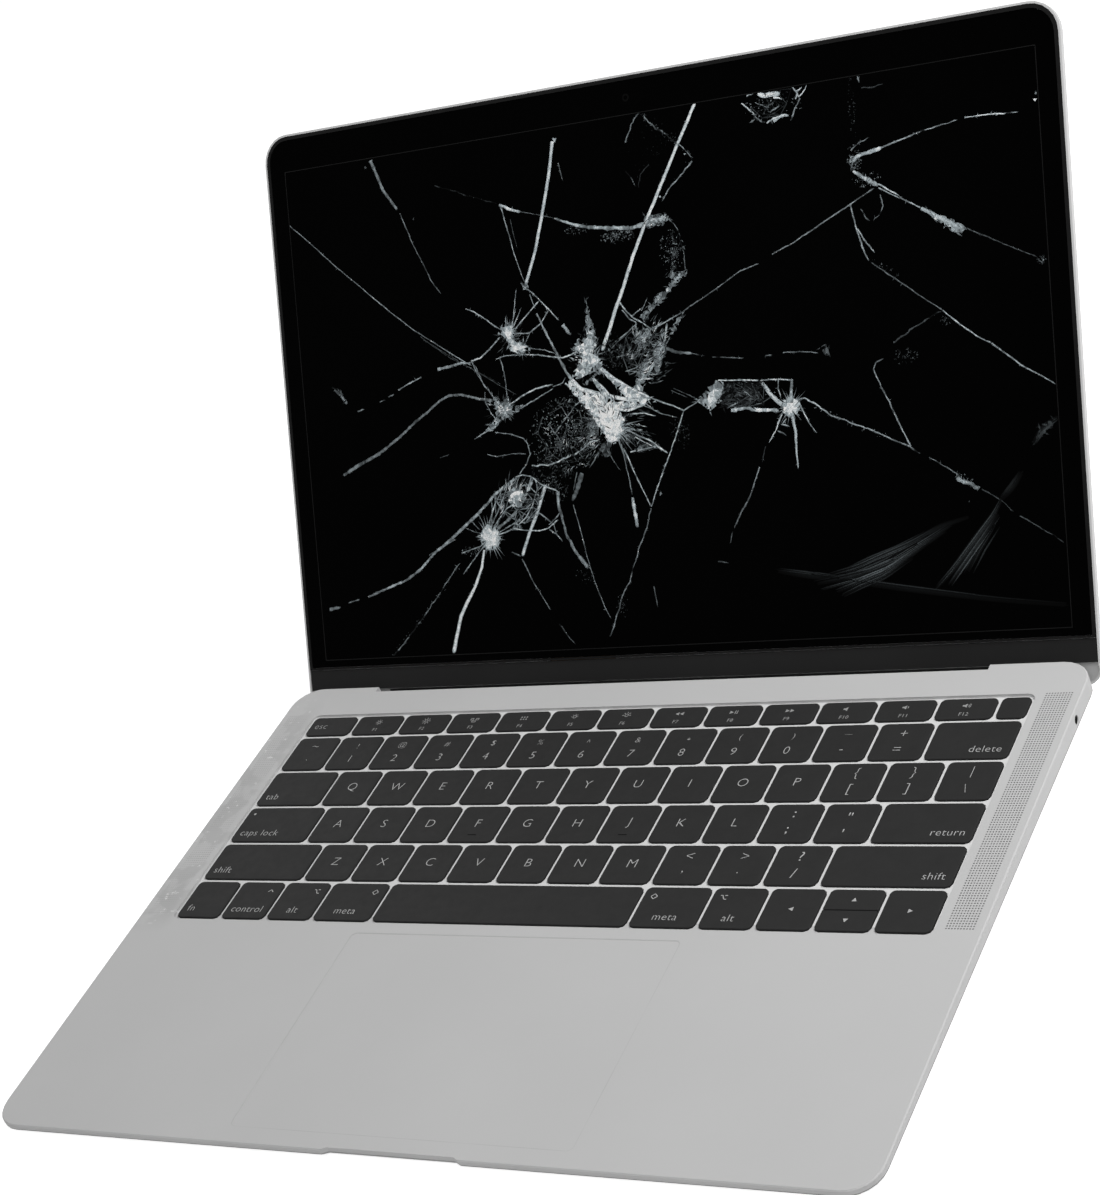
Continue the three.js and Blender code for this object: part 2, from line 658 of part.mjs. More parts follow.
// The main cracks of the display panel, each a width and its points in mm on a lit area of the size
// that they were drawn at, from its lower edge up and from the left edge of the lid's outline across
const DRAWN_WIDTH = 287.6;
const DRAWN_HEIGHT = 175.3;
const DRAWN_BEZEL = 8.25;
const onPanel = ([x, y]) => [
  SIDE_BEZEL - HALF + ((x - DRAWN_BEZEL) * ACTIVE_WIDTH) / DRAWN_WIDTH,
  ACTIVE_START + (y * ACTIVE_HEIGHT) / DRAWN_HEIGHT,
];
const CRACKS = [
  [1.1, [123, 171], [107.5, 126], [119.7, 96.5], [124, 90]],
  [1.1, [177.8, 175], [156.9, 140.3], [143.6, 114.2], [134.5, 97]],
  [0.7, [47.8, 174.2], [52.4, 164.2], [57.4, 156], [72.4, 125.3]],
  [0.5, [8.8, 157.2], [39.7, 130.3], [64.7, 111.4], [95.8, 92.6]],
  [0.5, [25.2, 66.2], [49.1, 76.4], [71.3, 89.8], [90.2, 87], [95, 82]],
  [0.6, [14.7, 18.9], [40.2, 24.4], [49.1, 27.6], [70.2, 41.4], [93.6, 58.1], [104.7, 68.7], [127, 76]],
  [1, [85.2, 39.2], [75.8, 20.9], [69.1, 12], [65.4, 1]],
  [0.8, [109.1, 55.3], [96.9, 32], [107.4, 13.7]],
  [0.5, [123, 60], [120.2, 49.8], [124.7, 27.6], [130.2, 11.4]],
  [0.6, [165.2, 77], [150.2, 46.4], [142.4, 29.8], [130.2, 3.1]],
  [0.6, [140, 78], [165.2, 77], [171.9, 79.8], [179.7, 85.3], [205.8, 83.7]],
  [0.6, [206.9, 78.7], [219.1, 70.9], [246.7, 58.7], [268, 44.4], [288, 30]],
  [0.5, [246.7, 58.7], [235.2, 84.2], [242.4, 92], [259.7, 99.6]],
  [0.6, [202.2, 124], [231.3, 136.4], [235.8, 117.6], [259.7, 99.6], [295.4, 74.4]],
  [0.8, [232.4, 146.4], [241.3, 140.3], [268.6, 124.2], [293.6, 112]],
  [0.7, [233, 149.2], [248, 153.1], [269.1, 156.7], [288, 156.7]],
  [0.6, [107.5, 126], [100.2, 152.6], [125.8, 144.2], [142.4, 139.2], [164.7, 140.3], [169.1, 124.2]],
  [0.9, [169.1, 122.6], [154.7, 110.9], [138, 96]],
  [0.6, [168, 109.6], [196.9, 121.4]],
  [0.8, [69, 100], [84, 100.5], [99.5, 109], [113, 119]],
];
// Crushed spots, each its radius and centre in the same measure
const CRUSHED = [
  [7.5, 137, 76],
  [6, 131, 98],
  [4.5, 84.5, 39.6],
  [3.6, 99.5, 109],
  [4.6, 204, 75],
  [4.2, 178, 80],
  [3.4, 97.5, 52.5],
  [3.2, 95, 84],
];
const CRACK_DEPTH = 0.4;
const CRUSH_DEPTH = 0.6;

function crackSolid(width, points) {
  const parts = [];
  for (let i = 0; i + 1 < points.length; i++) {
    const [[ax, ay], [bx, by]] = [points[i], points[i + 1]];
    const length = Math.hypot(bx - ax, by - ay);
    const [ux, uy] = [(bx - ax) / length, (by - ay) / length];
    const [sx, sy] = [(-uy * width) / 2, (ux * width) / 2];
    const overrun = width * 0.3;
    const outline = [
      [ax - ux * overrun, ay - uy * overrun],
      [ax - sx, ay - sy],
      [bx - sx, by - sy],
      [bx + ux * overrun, by + uy * overrun],
      [bx + sx, by + sy],
      [ax + sx, ay + sy],
    ];
    parts.push(prism(outline, -CRACK_DEPTH, 1));
  }
  return joined(parts);
}

function displayPanel() {
  const front = GLASS_LEVEL - 0.15;
  const plate = prism(activeArea(PANEL_LINE), front - PANEL_THICKNESS, front);
  const damage = CRACKS.map(([width, ...points]) => crackSolid(width, points.map(onPanel)));
  for (const [radius, ...centre] of CRUSHED) {
    damage.push(prism(circle(...onPanel(centre), radius, 9), -CRUSH_DEPTH, 1));
  }
  return plate.subtract(joined(damage).translate([0, 0, front]));
}

function chinCover() {
  const front = GLASS_LEVEL - 0.2;
  const half = HALF - LID_RIM - CLEARANCE;
  return prism(box(-half, CHIN_START, half, GLASS_START - CLEARANCE - 0.1), front - 1.2, front);
}

// The hinge cover: a barrel on the hinge axis, and a hooked web that passes behind the deck edge
function clutchCover() {
  const shelf = HINGE_DROP + CLOSED_GAP + 0.15;
  const crest = shelf + LIP_THICKNESS;
  const barrel = prismAlongX(circle(0, 0, BARREL_RADIUS, 24), -BARREL_HALF_LENGTH, BARREL_HALF_LENGTH);
  const web = prismAlongX(box(-3, -crest, -1.9, 0), -BARREL_HALF_LENGTH, BARREL_HALF_LENGTH);
  const half = NOTCH_HALF_WIDTH - 1.8;
  const lip = prismAlongX(box(-3, -crest, CHIN_START - CLEARANCE, -shelf), -half, half);
  return joined([barrel, web, lip]);
}

function hingeShaft(side) {
  const pin = prismAlongX(circle(0, 0, SHAFT_RADIUS, 16), BARREL_HALF_LENGTH + CLEARANCE, KNUCKLE_END + 0.5);
  const flange = prismAlongX(
    circle(0, 0, BARREL_RADIUS - 0.2, 20),
    BARREL_HALF_LENGTH + CLEARANCE,
    KNUCKLE_START - CLEARANCE,
  );
  const right = pin.add(flange);
  return side > 0 ? right : right.mirror([1, 0, 0]);
}

const CAMERA_HEIGHT = ACTIVE_START + ACTIVE_HEIGHT + 5.3;
const BEHIND_BORDER = GLASS_LEVEL - 0.1 - BORDER_THICKNESS - CLEARANCE;
function cameraModule() {
  const half = 3;
  const shape = box(-half, CAMERA_HEIGHT - 2.6, half, CAMERA_HEIGHT + 2.6);
  return prism(shape, BEHIND_BORDER - 1.3, BEHIND_BORDER);
}

function antennaStrip() {
  const front = GLASS_LEVEL - 0.2 - 1.2 - CLEARANCE;
  const half = BARREL_HALF_LENGTH + 4;
  return prism(box(-half, CHIN_START + 1.2, half, GLASS_START - 1.4), front - 0.8, front);
}

function displayCable() {
  const front = GLASS_LEVEL - 0.15 - PANEL_THICKNESS;
  const low = GLASS_LEVEL - (LID_THICKNESS - LID_BACK) + 0.05;
  const outline = box(-CABLE_START - CABLE_WIDTH, GLASS_START - 3.9, -CABLE_START, ACTIVE_START - 0.2);
  return prism(outline, low, Math.min(front, low + 0.25));
}

// Assembly
const inDeckFrame = new THREE.Group();
const lid = new THREE.Group();
lid.position.set(0, AXIS_Y, -HINGE_DROP);
lid.rotation.x = THREE.MathUtils.degToRad(180 - OPEN_ANGLE);
inDeckFrame.add(lid);

const baseParts = [
  ["top_case", topCase(), aluminium],
  ["bottom_cover", joined([bottomCover(), ...screwHeads()]), aluminium],
  ["keyboard_plate", keyboardPlate(), keyPlastic],
  ["touchpad_glass", prism(touchpadOutline(CLEARANCE), -DECK_THICKNESS, -0.08), aluminium],
  ["touchpad_bracket", touchpadBracket(), steel],
  ["main_board", mainBoard(), circuit],
  ["heat_spreader", heatSpreader(), copper],
  ["fan_housing", fanHousing(), darkPlastic],
  ["fan_rotor", fanRotor(), darkPlastic],
  ["speaker_left", speaker(-1), darkPlastic],
  ["speaker_right", speaker(1), darkPlastic],
  ["usb_port_front", usbPort(usbPosition(1)), steel],
  ["usb_port_rear", usbPort(usbPosition(0)), steel],
  ["headphone_jack", headphoneJack(), darkPlastic],
  ["hinge_bracket_left", hingeBracket(-1), steel],
  ["hinge_bracket_right", hingeBracket(1), steel],
];
for (const [name, shape, material] of baseParts) inDeckFrame.add(meshFrom(name, shape, material()));
for (const [name, shape] of feet()) inDeckFrame.add(meshFrom(name, shape, rubber()));
for (const [name, shape] of batteryCells()) inDeckFrame.add(meshFrom(name, shape, battery()));
for (const [name, shape] of movingKeys()) inDeckFrame.add(meshFrom(name, shape, keyPlastic()));

const lidParts = [
  ["lid_shell", lidShell(), aluminium],
  ["lid_gasket", lidGasket(), rubber],
  ["screen_border", screenBorder(), blackGlass],
  ["display_panel", displayPanel(), blackGlass],
  ["chin_cover", chinCover(), chinPlastic],
  ["clutch_cover", clutchCover(), chinPlastic],
  ["hinge_shaft_left", hingeShaft(-1), steel],
  ["hinge_shaft_right", hingeShaft(1), steel],
  ["camera_module", cameraModule(), darkPlastic],
  ["antenna_strip", antennaStrip(), darkPlastic],
  ["display_cable", displayCable(), flexPlastic],
];
for (const [name, shape, material] of lidParts) lid.add(meshFrom(name, shape, material()));

// Stands the laptop on its feet, with the origin under the middle of its outer box
inDeckFrame.rotation.x = TILT;
const group = new THREE.Group();
group.add(inDeckFrame);
group.updateMatrixWorld(true);
const bounds = new THREE.Box3().setFromObject(group, true);
const middle = bounds.getCenter(new THREE.Vector3());
inDeckFrame.position.set(-middle.x, -middle.y, -bounds.min.z);

export default group;
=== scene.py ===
"""Looks of the broken laptop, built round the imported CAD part. Lengths are in mm until they are placed."""

import json
import math
import random

import bpy
from mathutils import Matrix, Vector, noise
from mathutils.geometry import delaunay_2d_cdt


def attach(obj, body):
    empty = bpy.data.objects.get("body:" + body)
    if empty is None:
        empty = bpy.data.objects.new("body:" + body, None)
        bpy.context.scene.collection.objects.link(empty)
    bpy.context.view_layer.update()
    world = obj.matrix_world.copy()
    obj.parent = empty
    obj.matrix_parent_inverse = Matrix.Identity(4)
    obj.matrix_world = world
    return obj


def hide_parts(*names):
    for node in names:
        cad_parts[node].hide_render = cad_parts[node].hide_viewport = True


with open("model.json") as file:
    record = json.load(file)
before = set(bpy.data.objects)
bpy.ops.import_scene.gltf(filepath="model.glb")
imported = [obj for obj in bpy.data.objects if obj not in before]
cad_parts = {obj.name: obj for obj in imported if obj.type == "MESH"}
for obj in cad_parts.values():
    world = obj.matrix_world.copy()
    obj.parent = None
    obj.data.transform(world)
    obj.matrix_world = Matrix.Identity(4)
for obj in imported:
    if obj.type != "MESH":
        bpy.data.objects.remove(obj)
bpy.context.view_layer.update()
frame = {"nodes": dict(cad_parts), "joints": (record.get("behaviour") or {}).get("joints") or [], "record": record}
nodes = frame["nodes"]
rng = random.Random(11)

# Frames of the deck and of the lid, from the part's own joints
MM = 0.001
WIDTH, DEPTH = 304.1, 208.0
HALF = WIDTH / 2
HINGE_INSET, HINGE_DROP = 4.0, 4.35
joints = {j["name"]: j for j in frame["joints"]}
hinge = Vector(joints["lid_hinge"]["pos_m"])
press = Vector(joints["press_space"]["axis"])
OPEN_ANGLE = math.radians(-joints["lid_hinge"]["range_deg"][0])
TILT = math.atan2(press.y, -press.z)
DECK = (
    Matrix.Translation(hinge)
    @ Matrix.Rotation(TILT, 4, "X")
    @ Matrix.Translation(Vector((0, HINGE_INSET - DEPTH, HINGE_DROP)) * MM)
)
LID = Matrix.Translation(hinge) @ Matrix.Rotation(TILT + math.pi - OPEN_ANGLE, 4, "X")

# Camera, solved from the photograph's perspective, in the deck's frame
FRAME_W, FRAME_H = 1100, 1195
FOCAL_PX = 2595.78
CENTRE_PX = (635.67, 697.51)
SENSOR = 36.0
CLIP_START = 0.02
EYE = Vector((442.39, -367.45, 464.81))
RIGHT = Vector((0.852215, 0.382597, -0.356859))
FORWARD = Vector((-0.522462, 0.658345, -0.541863))


def make_camera():
    data = bpy.data.cameras.new("camera")
    cam = bpy.data.objects.new("camera", data)
    bpy.context.scene.collection.objects.link(cam)
    turn = DECK.to_3x3()
    back = (turn @ -FORWARD).normalized()
    right = (turn @ RIGHT).normalized()
    up = back.cross(right).normalized()
    pose = Matrix((right, up, back)).transposed().to_4x4()
    pose.translation = DECK @ (EYE * MM)
    cam.matrix_world = pose
    long_side = max(FRAME_W, FRAME_H)
    data.sensor_width = SENSOR
    data.lens = FOCAL_PX * SENSOR / long_side
    data.shift_x = (FRAME_W / 2 - CENTRE_PX[0]) / long_side
    data.shift_y = (CENTRE_PX[1] - FRAME_H / 2) / long_side
    data.clip_start = CLIP_START
    bpy.context.scene.camera = cam


make_camera()


# Materials: every one has its own mottle, grain and bump
MIX_FIRST, MIX_SECOND, MIX_RESULT = 6, 7, 2  # the colour sockets of a Mix node
MOTTLE_EDGES, MOTTLE_DETAIL = (0.35, 0.65), 5.0
ROUGH_EDGES, ROUGH_DETAIL, ROUGH_SCALE = (0.3, 0.7), 3.0, 3
GRAIN_DETAIL, BUMP_DEPTH = 2.0, 0.00005


def tint(level):
    """A neutral colour from its 8-bit level."""
    c = level / 255
    v = c / 12.92 if c <= 0.04045 else ((c + 0.055) / 1.055) ** 2.4
    return (v, v, v, 1.0)


class Surface:
    """A Principled material with a mottled colour, an uneven roughness and a fine bump."""

    def __init__(self, name, colour, rough, metallic=0.0, specular=0.5, mottle=0.06, blotch=40.0,
                 grain=2500.0, bump=0.08, rough_spread=0.05):
        self.material = bpy.data.materials.new(name)
        self.material.use_nodes = True
        self.tree = self.material.node_tree
        self.shader = self.tree.nodes["Principled BSDF"]
        self.shader.inputs["Metallic"].default_value = metallic
        self.shader.inputs["Specular IOR Level"].default_value = specular
        self.coords = self.tree.nodes.new("ShaderNodeTexCoord").outputs["Object"]
        low = tuple(c * (1 - mottle) for c in colour[:3]) + (1.0,)
        high = tuple(c * (1 + mottle) for c in colour[:3]) + (1.0,)
        cloud = self.noise(blotch, MOTTLE_DETAIL)
        self.colour = self.mix(self.spread(cloud, *MOTTLE_EDGES, 0.0, 1.0), low, high)
        fine = self.noise(grain, GRAIN_DETAIL)
        uneven = self.noise(blotch * ROUGH_SCALE, ROUGH_DETAIL)
        self.set("Roughness", self.spread(uneven, *ROUGH_EDGES, rough - rough_spread, rough + rough_spread))
        bumper = self.tree.nodes.new("ShaderNodeBump")
        bumper.inputs["Strength"].default_value = bump
        bumper.inputs["Distance"].default_value = BUMP_DEPTH
        self.link(fine, bumper.inputs["Height"])
        self.link(bumper.outputs["Normal"], self.shader.inputs["Normal"])
        self.set("Base Color", self.colour)

    def link(self, source, target):
        self.tree.links.new(source, target)

    def set(self, socket, source):
        self.link(source, self.shader.inputs[socket])

    def noise(self, scale, detail):
        node = self.tree.nodes.new("ShaderNodeTexNoise")
        node.inputs["Scale"].default_value = scale
        node.inputs["Detail"].default_value = detail
        self.link(self.coords, node.inputs["Vector"])
        return node.outputs[0]

    def spread(self, value, from_low, from_high, to_low, to_high):
        node = self.tree.nodes.new("ShaderNodeMapRange")
        for i, v in enumerate((from_low, from_high, to_low, to_high)):
            node.inputs[i + 1].default_value = v
        self.link(value, node.inputs[0])
        return node.outputs[0]

    def math(self, operation, *values):
        node = self.tree.nodes.new("ShaderNodeMath")
        node.operation = operation
        for i, v in enumerate(values):
            if isinstance(v, (int, float)):
                node.inputs[i].default_value = v
            else:
                self.link(v, node.inputs[i])
        return node.outputs[0]

    def mix(self, factor, a, b):
        node = self.tree.nodes.new("ShaderNodeMix")
        node.data_type = "RGBA"
        self.link(factor, node.inputs[0])
        for socket, v in ((node.inputs[MIX_FIRST], a), (node.inputs[MIX_SECOND], b)):
            if isinstance(v, tuple):
                socket.default_value = v
            else:
                self.link(v, socket)
        return node.outputs[MIX_RESULT]

    def recolour(self, factor, other):
        """Lays another colour over the one so far, where the factor says."""
        self.colour = self.mix(factor, self.colour, other)
        self.set("Base Color", self.colour)


ALU = 191  # the grey of the bare aluminium
aluminium = Surface("aluminium_blasted", tint(ALU), 0.5, metallic=0.3, mottle=0.02, blotch=18, grain=5000,
                    bump=0.15)
deck_metal = Surface("aluminium_deck", tint(ALU), 0.6, specular=0.2, mottle=0.015, blotch=14, grain=5000,
                     bump=0.15)


# The worn band left of the keys, and the floor of the recessed key field that is drawn paler as painted light
# against the shade there, in mm on the deck
BAND_FULL, BAND_END, BAND_FRONT, BAND_REAR = 12.0, 17.0, 84.0, 204.0
BAND_FADE_FRONT, BAND_FADE_REAR = 10.0, 20.0
BLOTCH_SCALE, BLOTCH_DETAIL, BLOTCH_EDGES = 90, 4.0, (0.47, 0.53)
BLOTCH_STRENGTH, BLOTCH_GREY = 0.55, ALU - 20
NICK_SCALE, NICK_DETAIL, NICK_EDGES = 420, 3.0, (0.66, 0.7)
NICK_STRENGTH, NICK_GREY = 0.8, 222
# Painted light: the floor of the recessed key field is drawn paler than the deck, where shade falls between the
# keys
WELL_INSET, WELL_FRONT, WELL_REAR = 14.5, 94.0, 196.0
WELL_FULL, WELL_END, WELL_PAINTED_LIGHT_GREY = 0.6, 0.3, 214


def deck_y(distance):
    """The world y of a place on the deck, from its distance to the front edge."""
    return (DECK @ Vector((0, distance * MM, 0))).y


def add_deck_wear_and_painted_light():
    """Rubbed blotches and nicks left of the keys, where hands have been, and painted light that draws the floor
    under the keys paler against the shade of the recess.
    """
    m = deck_metal
    split = m.tree.nodes.new("ShaderNodeSeparateXYZ")
    m.link(m.coords, split.inputs[0])
    x, y = split.outputs[0], split.outputs[1]
    left = m.spread(x, (BAND_FULL - HALF) * MM, (BAND_END - HALF) * MM, 1.0, 0.0)
    low, high = deck_y(BAND_FRONT), deck_y(BAND_REAR)
    from_front = m.spread(y, low, low + BAND_FADE_FRONT * MM, 0.0, 1.0)
    to_rear = m.spread(y, high - BAND_FADE_REAR * MM, high, 1.0, 0.0)
    band = m.math("MULTIPLY", left, m.math("MULTIPLY", from_front, to_rear))
    patch = m.spread(m.noise(BLOTCH_SCALE, BLOTCH_DETAIL), *BLOTCH_EDGES, 0.0, 1.0)
    m.recolour(m.math("MULTIPLY", band, m.math("MULTIPLY", patch, BLOTCH_STRENGTH)), tint(BLOTCH_GREY))
    # Painted light: a paler grey on the recessed floor between the keys, in place of the shade that falls there
    across = m.math("COMPARE", x, 0.0, (HALF - WELL_INSET) * MM)
    normal = DECK.to_3x3() @ Vector((0, 0, 1))
    height = m.tree.nodes.new("ShaderNodeVectorMath")
    height.operation = "DOT_PRODUCT"
    height.inputs[1].default_value = normal
    m.link(m.coords, height.inputs[0])
    level = normal.dot(DECK.translation)
    sunk_painted_light = m.spread(height.outputs["Value"], level - WELL_FULL * MM, level - WELL_END * MM, 1.0, 0.0)
    along = m.math("MULTIPLY", m.math("GREATER_THAN", y, deck_y(WELL_FRONT)),
                   m.math("LESS_THAN", y, deck_y(WELL_REAR)))
    m.recolour(m.math("MULTIPLY", m.math("MULTIPLY", across, along), sunk_painted_light), tint(WELL_PAINTED_LIGHT_GREY))
    nicks = m.spread(m.noise(NICK_SCALE, NICK_DETAIL), *NICK_EDGES, 0.0, 1.0)
    m.recolour(m.math("MULTIPLY", band, m.math("MULTIPLY", nicks, NICK_STRENGTH)), tint(NICK_GREY))


add_deck_wear_and_painted_light()
key_plastic = Surface("key_plastic", tint(40), 0.62, specular=0.12, mottle=0.05, blotch=120, grain=6000,
                      bump=0.25)
legend_ink = Surface("legend_ink", tint(172), 0.6, specular=0.2, mottle=0.05, blotch=500)
dim_ink = Surface("legend_ink_dim", tint(150), 0.6, specular=0.2, mottle=0.05, blotch=500)
black_glass = Surface("black_glass", tint(2), 0.08, specular=0.006, mottle=0.2, blotch=10, grain=300,
                      bump=0.01, rough_spread=0.03)
line_grey = Surface("display_outline_grey", tint(22), 0.4, specular=0.05, mottle=0.2, blotch=60)
chin_plastic = Surface("chin_plastic", tint(40), 0.5, specular=0.02, mottle=0.1, blotch=14, grain=4000,
                       bump=0.2)
hinge_plastic = Surface("hinge_plastic", tint(28), 0.5, specular=0.02, mottle=0.1, blotch=20, grain=4000,
                        bump=0.2)
gasket_rubber = Surface("gasket_rubber", tint(16), 0.75, specular=0.1, mottle=0.15, blotch=200, bump=0.2)
foot_rubber = Surface("foot_rubber", tint(34), 0.85, specular=0.2, mottle=0.12, blotch=300, grain=1800,
                      bump=0.4)
# Painted shade: the grille holes are dark discs, fainter on the left
grille_hole_shade = Surface("grille_hole", tint(108), 0.7, specular=0.1, mottle=0.12, blotch=160)
faint_grille_hole_shade = Surface("grille_hole_faint_shade", tint(ALU - 14), 0.7, specular=0.1, mottle=0.12, blotch=120)
# Dark parts, and painted shade for the headphone socket's mouth and the F and J ridges
dark_and_painted_shade = Surface("dark_and_painted_shade", tint(8), 0.7, specular=0.02, mottle=0.1, blotch=200)
# Painted shade: the ring in the touchpad's slit is a little darker than the deck
seam_painted_shade = Surface("seam_painted_shade", tint(ALU - 8), 0.6, specular=0.2, mottle=0.05, blotch=60)
steel = Surface("steel", tint(150), 0.35, metallic=0.9, mottle=0.06, blotch=200, grain=1500, bump=0.1)
copper = Surface("copper", (0.55, 0.24, 0.12, 1), 0.35, metallic=0.9, mottle=0.12, blotch=90)
board_green = Surface("board_lacquer", (0.01, 0.06, 0.025, 1), 0.4, mottle=0.3, blotch=600, grain=900,
                      bump=0.5)
battery_foil = Surface("battery_foil", tint(46), 0.55, mottle=0.1, blotch=60, grain=200, bump=0.2)
dark_plastic = Surface("dark_plastic", tint(30), 0.6, mottle=0.1, blotch=150)
flex_film = Surface("flex_film", (0.10, 0.05, 0.015, 1), 0.4, mottle=0.1, blotch=150)


SPARKLE_SCALE, SPARKLE_DETAIL, SPARKLE_EDGES, SPARKLE_RANGE = 2600, 4.0, (0.35, 0.62), (0.75, 1.25)
ICE, FROST, FROST_EDGES = (0.8, 0.92, 0.97, 1.0), (1.0, 1.0, 0.99, 1.0), (0.5, 1.0)


def fracture_material():
    """Broken glass: black where a line fades and frosted where it is crushed, from the shade attribute."""
    m = Surface("fractured_glass", tint(2), 0.4, specular=0.02, mottle=0.1, blotch=300)
    shade = m.tree.nodes.new("ShaderNodeAttribute")
    shade.attribute_name = "shade"
    sparkle = m.spread(m.noise(SPARKLE_SCALE, SPARKLE_DETAIL), *SPARKLE_EDGES, *SPARKLE_RANGE)
    frost = m.mix(m.spread(shade.outputs["Fac"], *FROST_EDGES, 0.0, 1.0), ICE, FROST)
    m.recolour(m.math("MULTIPLY", shade.outputs["Fac"], sparkle), frost)
    return m


fractured = fracture_material()

# Materials of the CAD pieces, by node or else by material slot
SLOT_SURFACE = {
    "aluminium": aluminium, "key_plastic": key_plastic, "black_glass": black_glass,
    "chin_plastic": chin_plastic, "rubber": foot_rubber, "battery_foil": battery_foil,
    "circuit_board": board_green, "copper": copper, "steel": steel, "dark_plastic": dark_plastic,
    "flex_film": flex_film,
}
NODE_SURFACE = {
    "top_case": deck_metal, "touchpad_glass": deck_metal, "lid_gasket": gasket_rubber,
    "clutch_cover": hinge_plastic, "headphone_jack": dark_and_painted_shade,
}
for row in frame["record"]["subparts"]:
    node = nodes[row["node"]]
    surface = NODE_SURFACE.get(row["node"], SLOT_SURFACE[row["material_slot"]])
    node.data.materials.clear()
    node.data.materials.append(surface.material)


# Mesh building
SMOOTH_ANGLE = math.radians(32)


def rounded(x0, y0, x1, y1, radius, steps, far=None):
    """A rectangle with round corners, from the near right one round. far is the far corners' radius."""
    far = radius if far is None else far
    points = []
    for r, cx, cy, start in (
        (radius, x1 - radius, y0 + radius, -90), (far, x1 - far, y1 - far, 0),
        (far, x0 + far, y1 - far, 90), (radius, x0 + radius, y0 + radius, 180),
    ):
        for i in range(steps + 1):
            a = math.radians(start + 90 * i / steps)
            points.append((cx + r * math.cos(a), cy + r * math.sin(a)))
    return points


def circle(radius, sides, x=0.0, y=0.0):
    """The corners of a regular polygon."""
    return [(x + radius * math.cos(a), y + radius * math.sin(a))
            for a in (k * math.tau / sides for k in range(sides))]


class Pile:
    """Collects one piece: points in mm, faces, the number of each face's surface and the shade of a point."""

    def __init__(self):
        self.verts, self.faces, self.marks, self.shades = [], [], [], []

    def ring(self, outline, z):
        """Adds an outline at one level and returns the numbers of its points."""
        start = len(self.verts)
        self.verts += [(x, y, z) for x, y in outline]
        return list(range(start, start + len(outline)))

    def face(self, indices, mark=0):
        self.faces.append(tuple(indices))
        self.marks.append(mark)

    def bridge(self, low, high):
        """A wall between two rings of as many points."""
        n = len(low)
        for i in range(n):
            j = (i + 1) % n
            self.face((low[i], low[j], high[j], high[i]))

    def stack(self, rings):
        """A closed body over rings, from the lowest to the highest."""
        self.face(reversed(rings[0]))
        for low, high in zip(rings, rings[1:]):
            self.bridge(low, high)
        self.face(rings[-1])

    def slab(self, outline, z0, z1):
        """An outline with a thickness."""
        self.stack([self.ring(outline, z0), self.ring(outline, z1)])

    def piece(self, name, surfaces, body, slot, where=DECK, smooth=False):
        """Makes the piece in a frame and hands it to its body. slot is not used."""
        mesh = bpy.data.meshes.new(name)
        mesh.from_pydata([where @ (Vector(v) * MM) for v in self.verts], [], self.faces)
        for s in surfaces:
            mesh.materials.append(s.material)
        mesh.polygons.foreach_set("material_index", self.marks)
        if self.shades:
            attribute = mesh.attributes.new("shade", "FLOAT", "POINT")
            attribute.data.foreach_set("value", self.shades)
        if smooth:
            mesh.polygons.foreach_set("use_smooth", [True] * len(mesh.polygons))
            mesh.set_sharp_from_angle(angle=SMOOTH_ANGLE)
        mesh.validate()
        mesh.update()
        piece = bpy.data.objects.new(name, mesh)
        bpy.context.scene.collection.objects.link(piece)
        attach(piece, body)
        return piece


# Keyboard, from the same sizes as the part
KEY_GAP, ROW_PITCH, ROW_GAP, LETTER_ROWS = 0.95, 18.14, 1.09, 5
KEYBOARD_SIDE_MARGIN, KEYBOARD_REAR_MARGIN, KEYBOARD_UNITS = 15.3, 15.9, 14.5
KEY_PITCH = (WIDTH - 2 * KEYBOARD_SIDE_MARGIN + KEY_GAP) / KEYBOARD_UNITS
FUNCTION_ROW_HEIGHT, POWER_KEY_WIDTH, KEY_RADIUS = 9.9, 9.9, 2.0
KEYBOARD_REAR = DEPTH - KEYBOARD_REAR_MARGIN
KEYBOARD_FRONT = KEYBOARD_REAR - FUNCTION_ROW_HEIGHT - LETTER_ROWS * ROW_PITCH
KEYBOARD_WIDTH = KEYBOARD_UNITS * KEY_PITCH - KEY_GAP
KEYBOARD_LEFT = -KEYBOARD_WIDTH / 2
KEY_TOP, CAP_THICKNESS, HOLE_CLEARANCE = -0.25, 1.0, 0.2
CARRIER_TOP, CARRIER_THICKNESS, CARRIER_MARGIN, STEM, STEM_RADIUS = -1.95, 0.7, 0.5, 4.0, 0.5
FUNCTION_KEYS, ARROW_SPLIT, ARROW_SPLIT_RADIUS = 13, 0.15, 0.5


def keys_of(text):
    """Equal keys, one for each group of signs."""
    return [(pair, 1, "") for pair in text.split()]


# Rows from the front, with each key's legend, width in units and name. A ~ before a word puts it at the
# right, and ^, * and + stand for the sign of a modifier key
ROWS = [
    [("fn", 1, "fn"), ("control^", 1, "control"), ("alt*", 1, "option_left"), ("meta+", 1.25, "meta_left"),
     ("", 5, "space"), ("+meta", 1.25, "meta_right"), ("*alt", 1, "option_right"), ("<|", 1, "arrow_left"),
     ("", 1, "arrows"), ("|>", 1, "arrow_right")],
    [("shift", 2.25, "shift_left")] + keys_of("Z X C V B N M <, >. ?/") + [("~shift", 2.25, "shift_right")],
    [("caps lock", 1.75, "caps_lock")] + keys_of("A S D F G H J K L :; \"'") + [("~return", 1.75, "return")],
    [("tab", 1.5, "tab")] + keys_of("Q W E R T Y U I O P {[ }] |\\"),
    keys_of("~` !1 @2 #3 $4 %5 ^6 &7 *8 (9 )0 _- +=") + [("~delete", 1.5, "delete")],
]


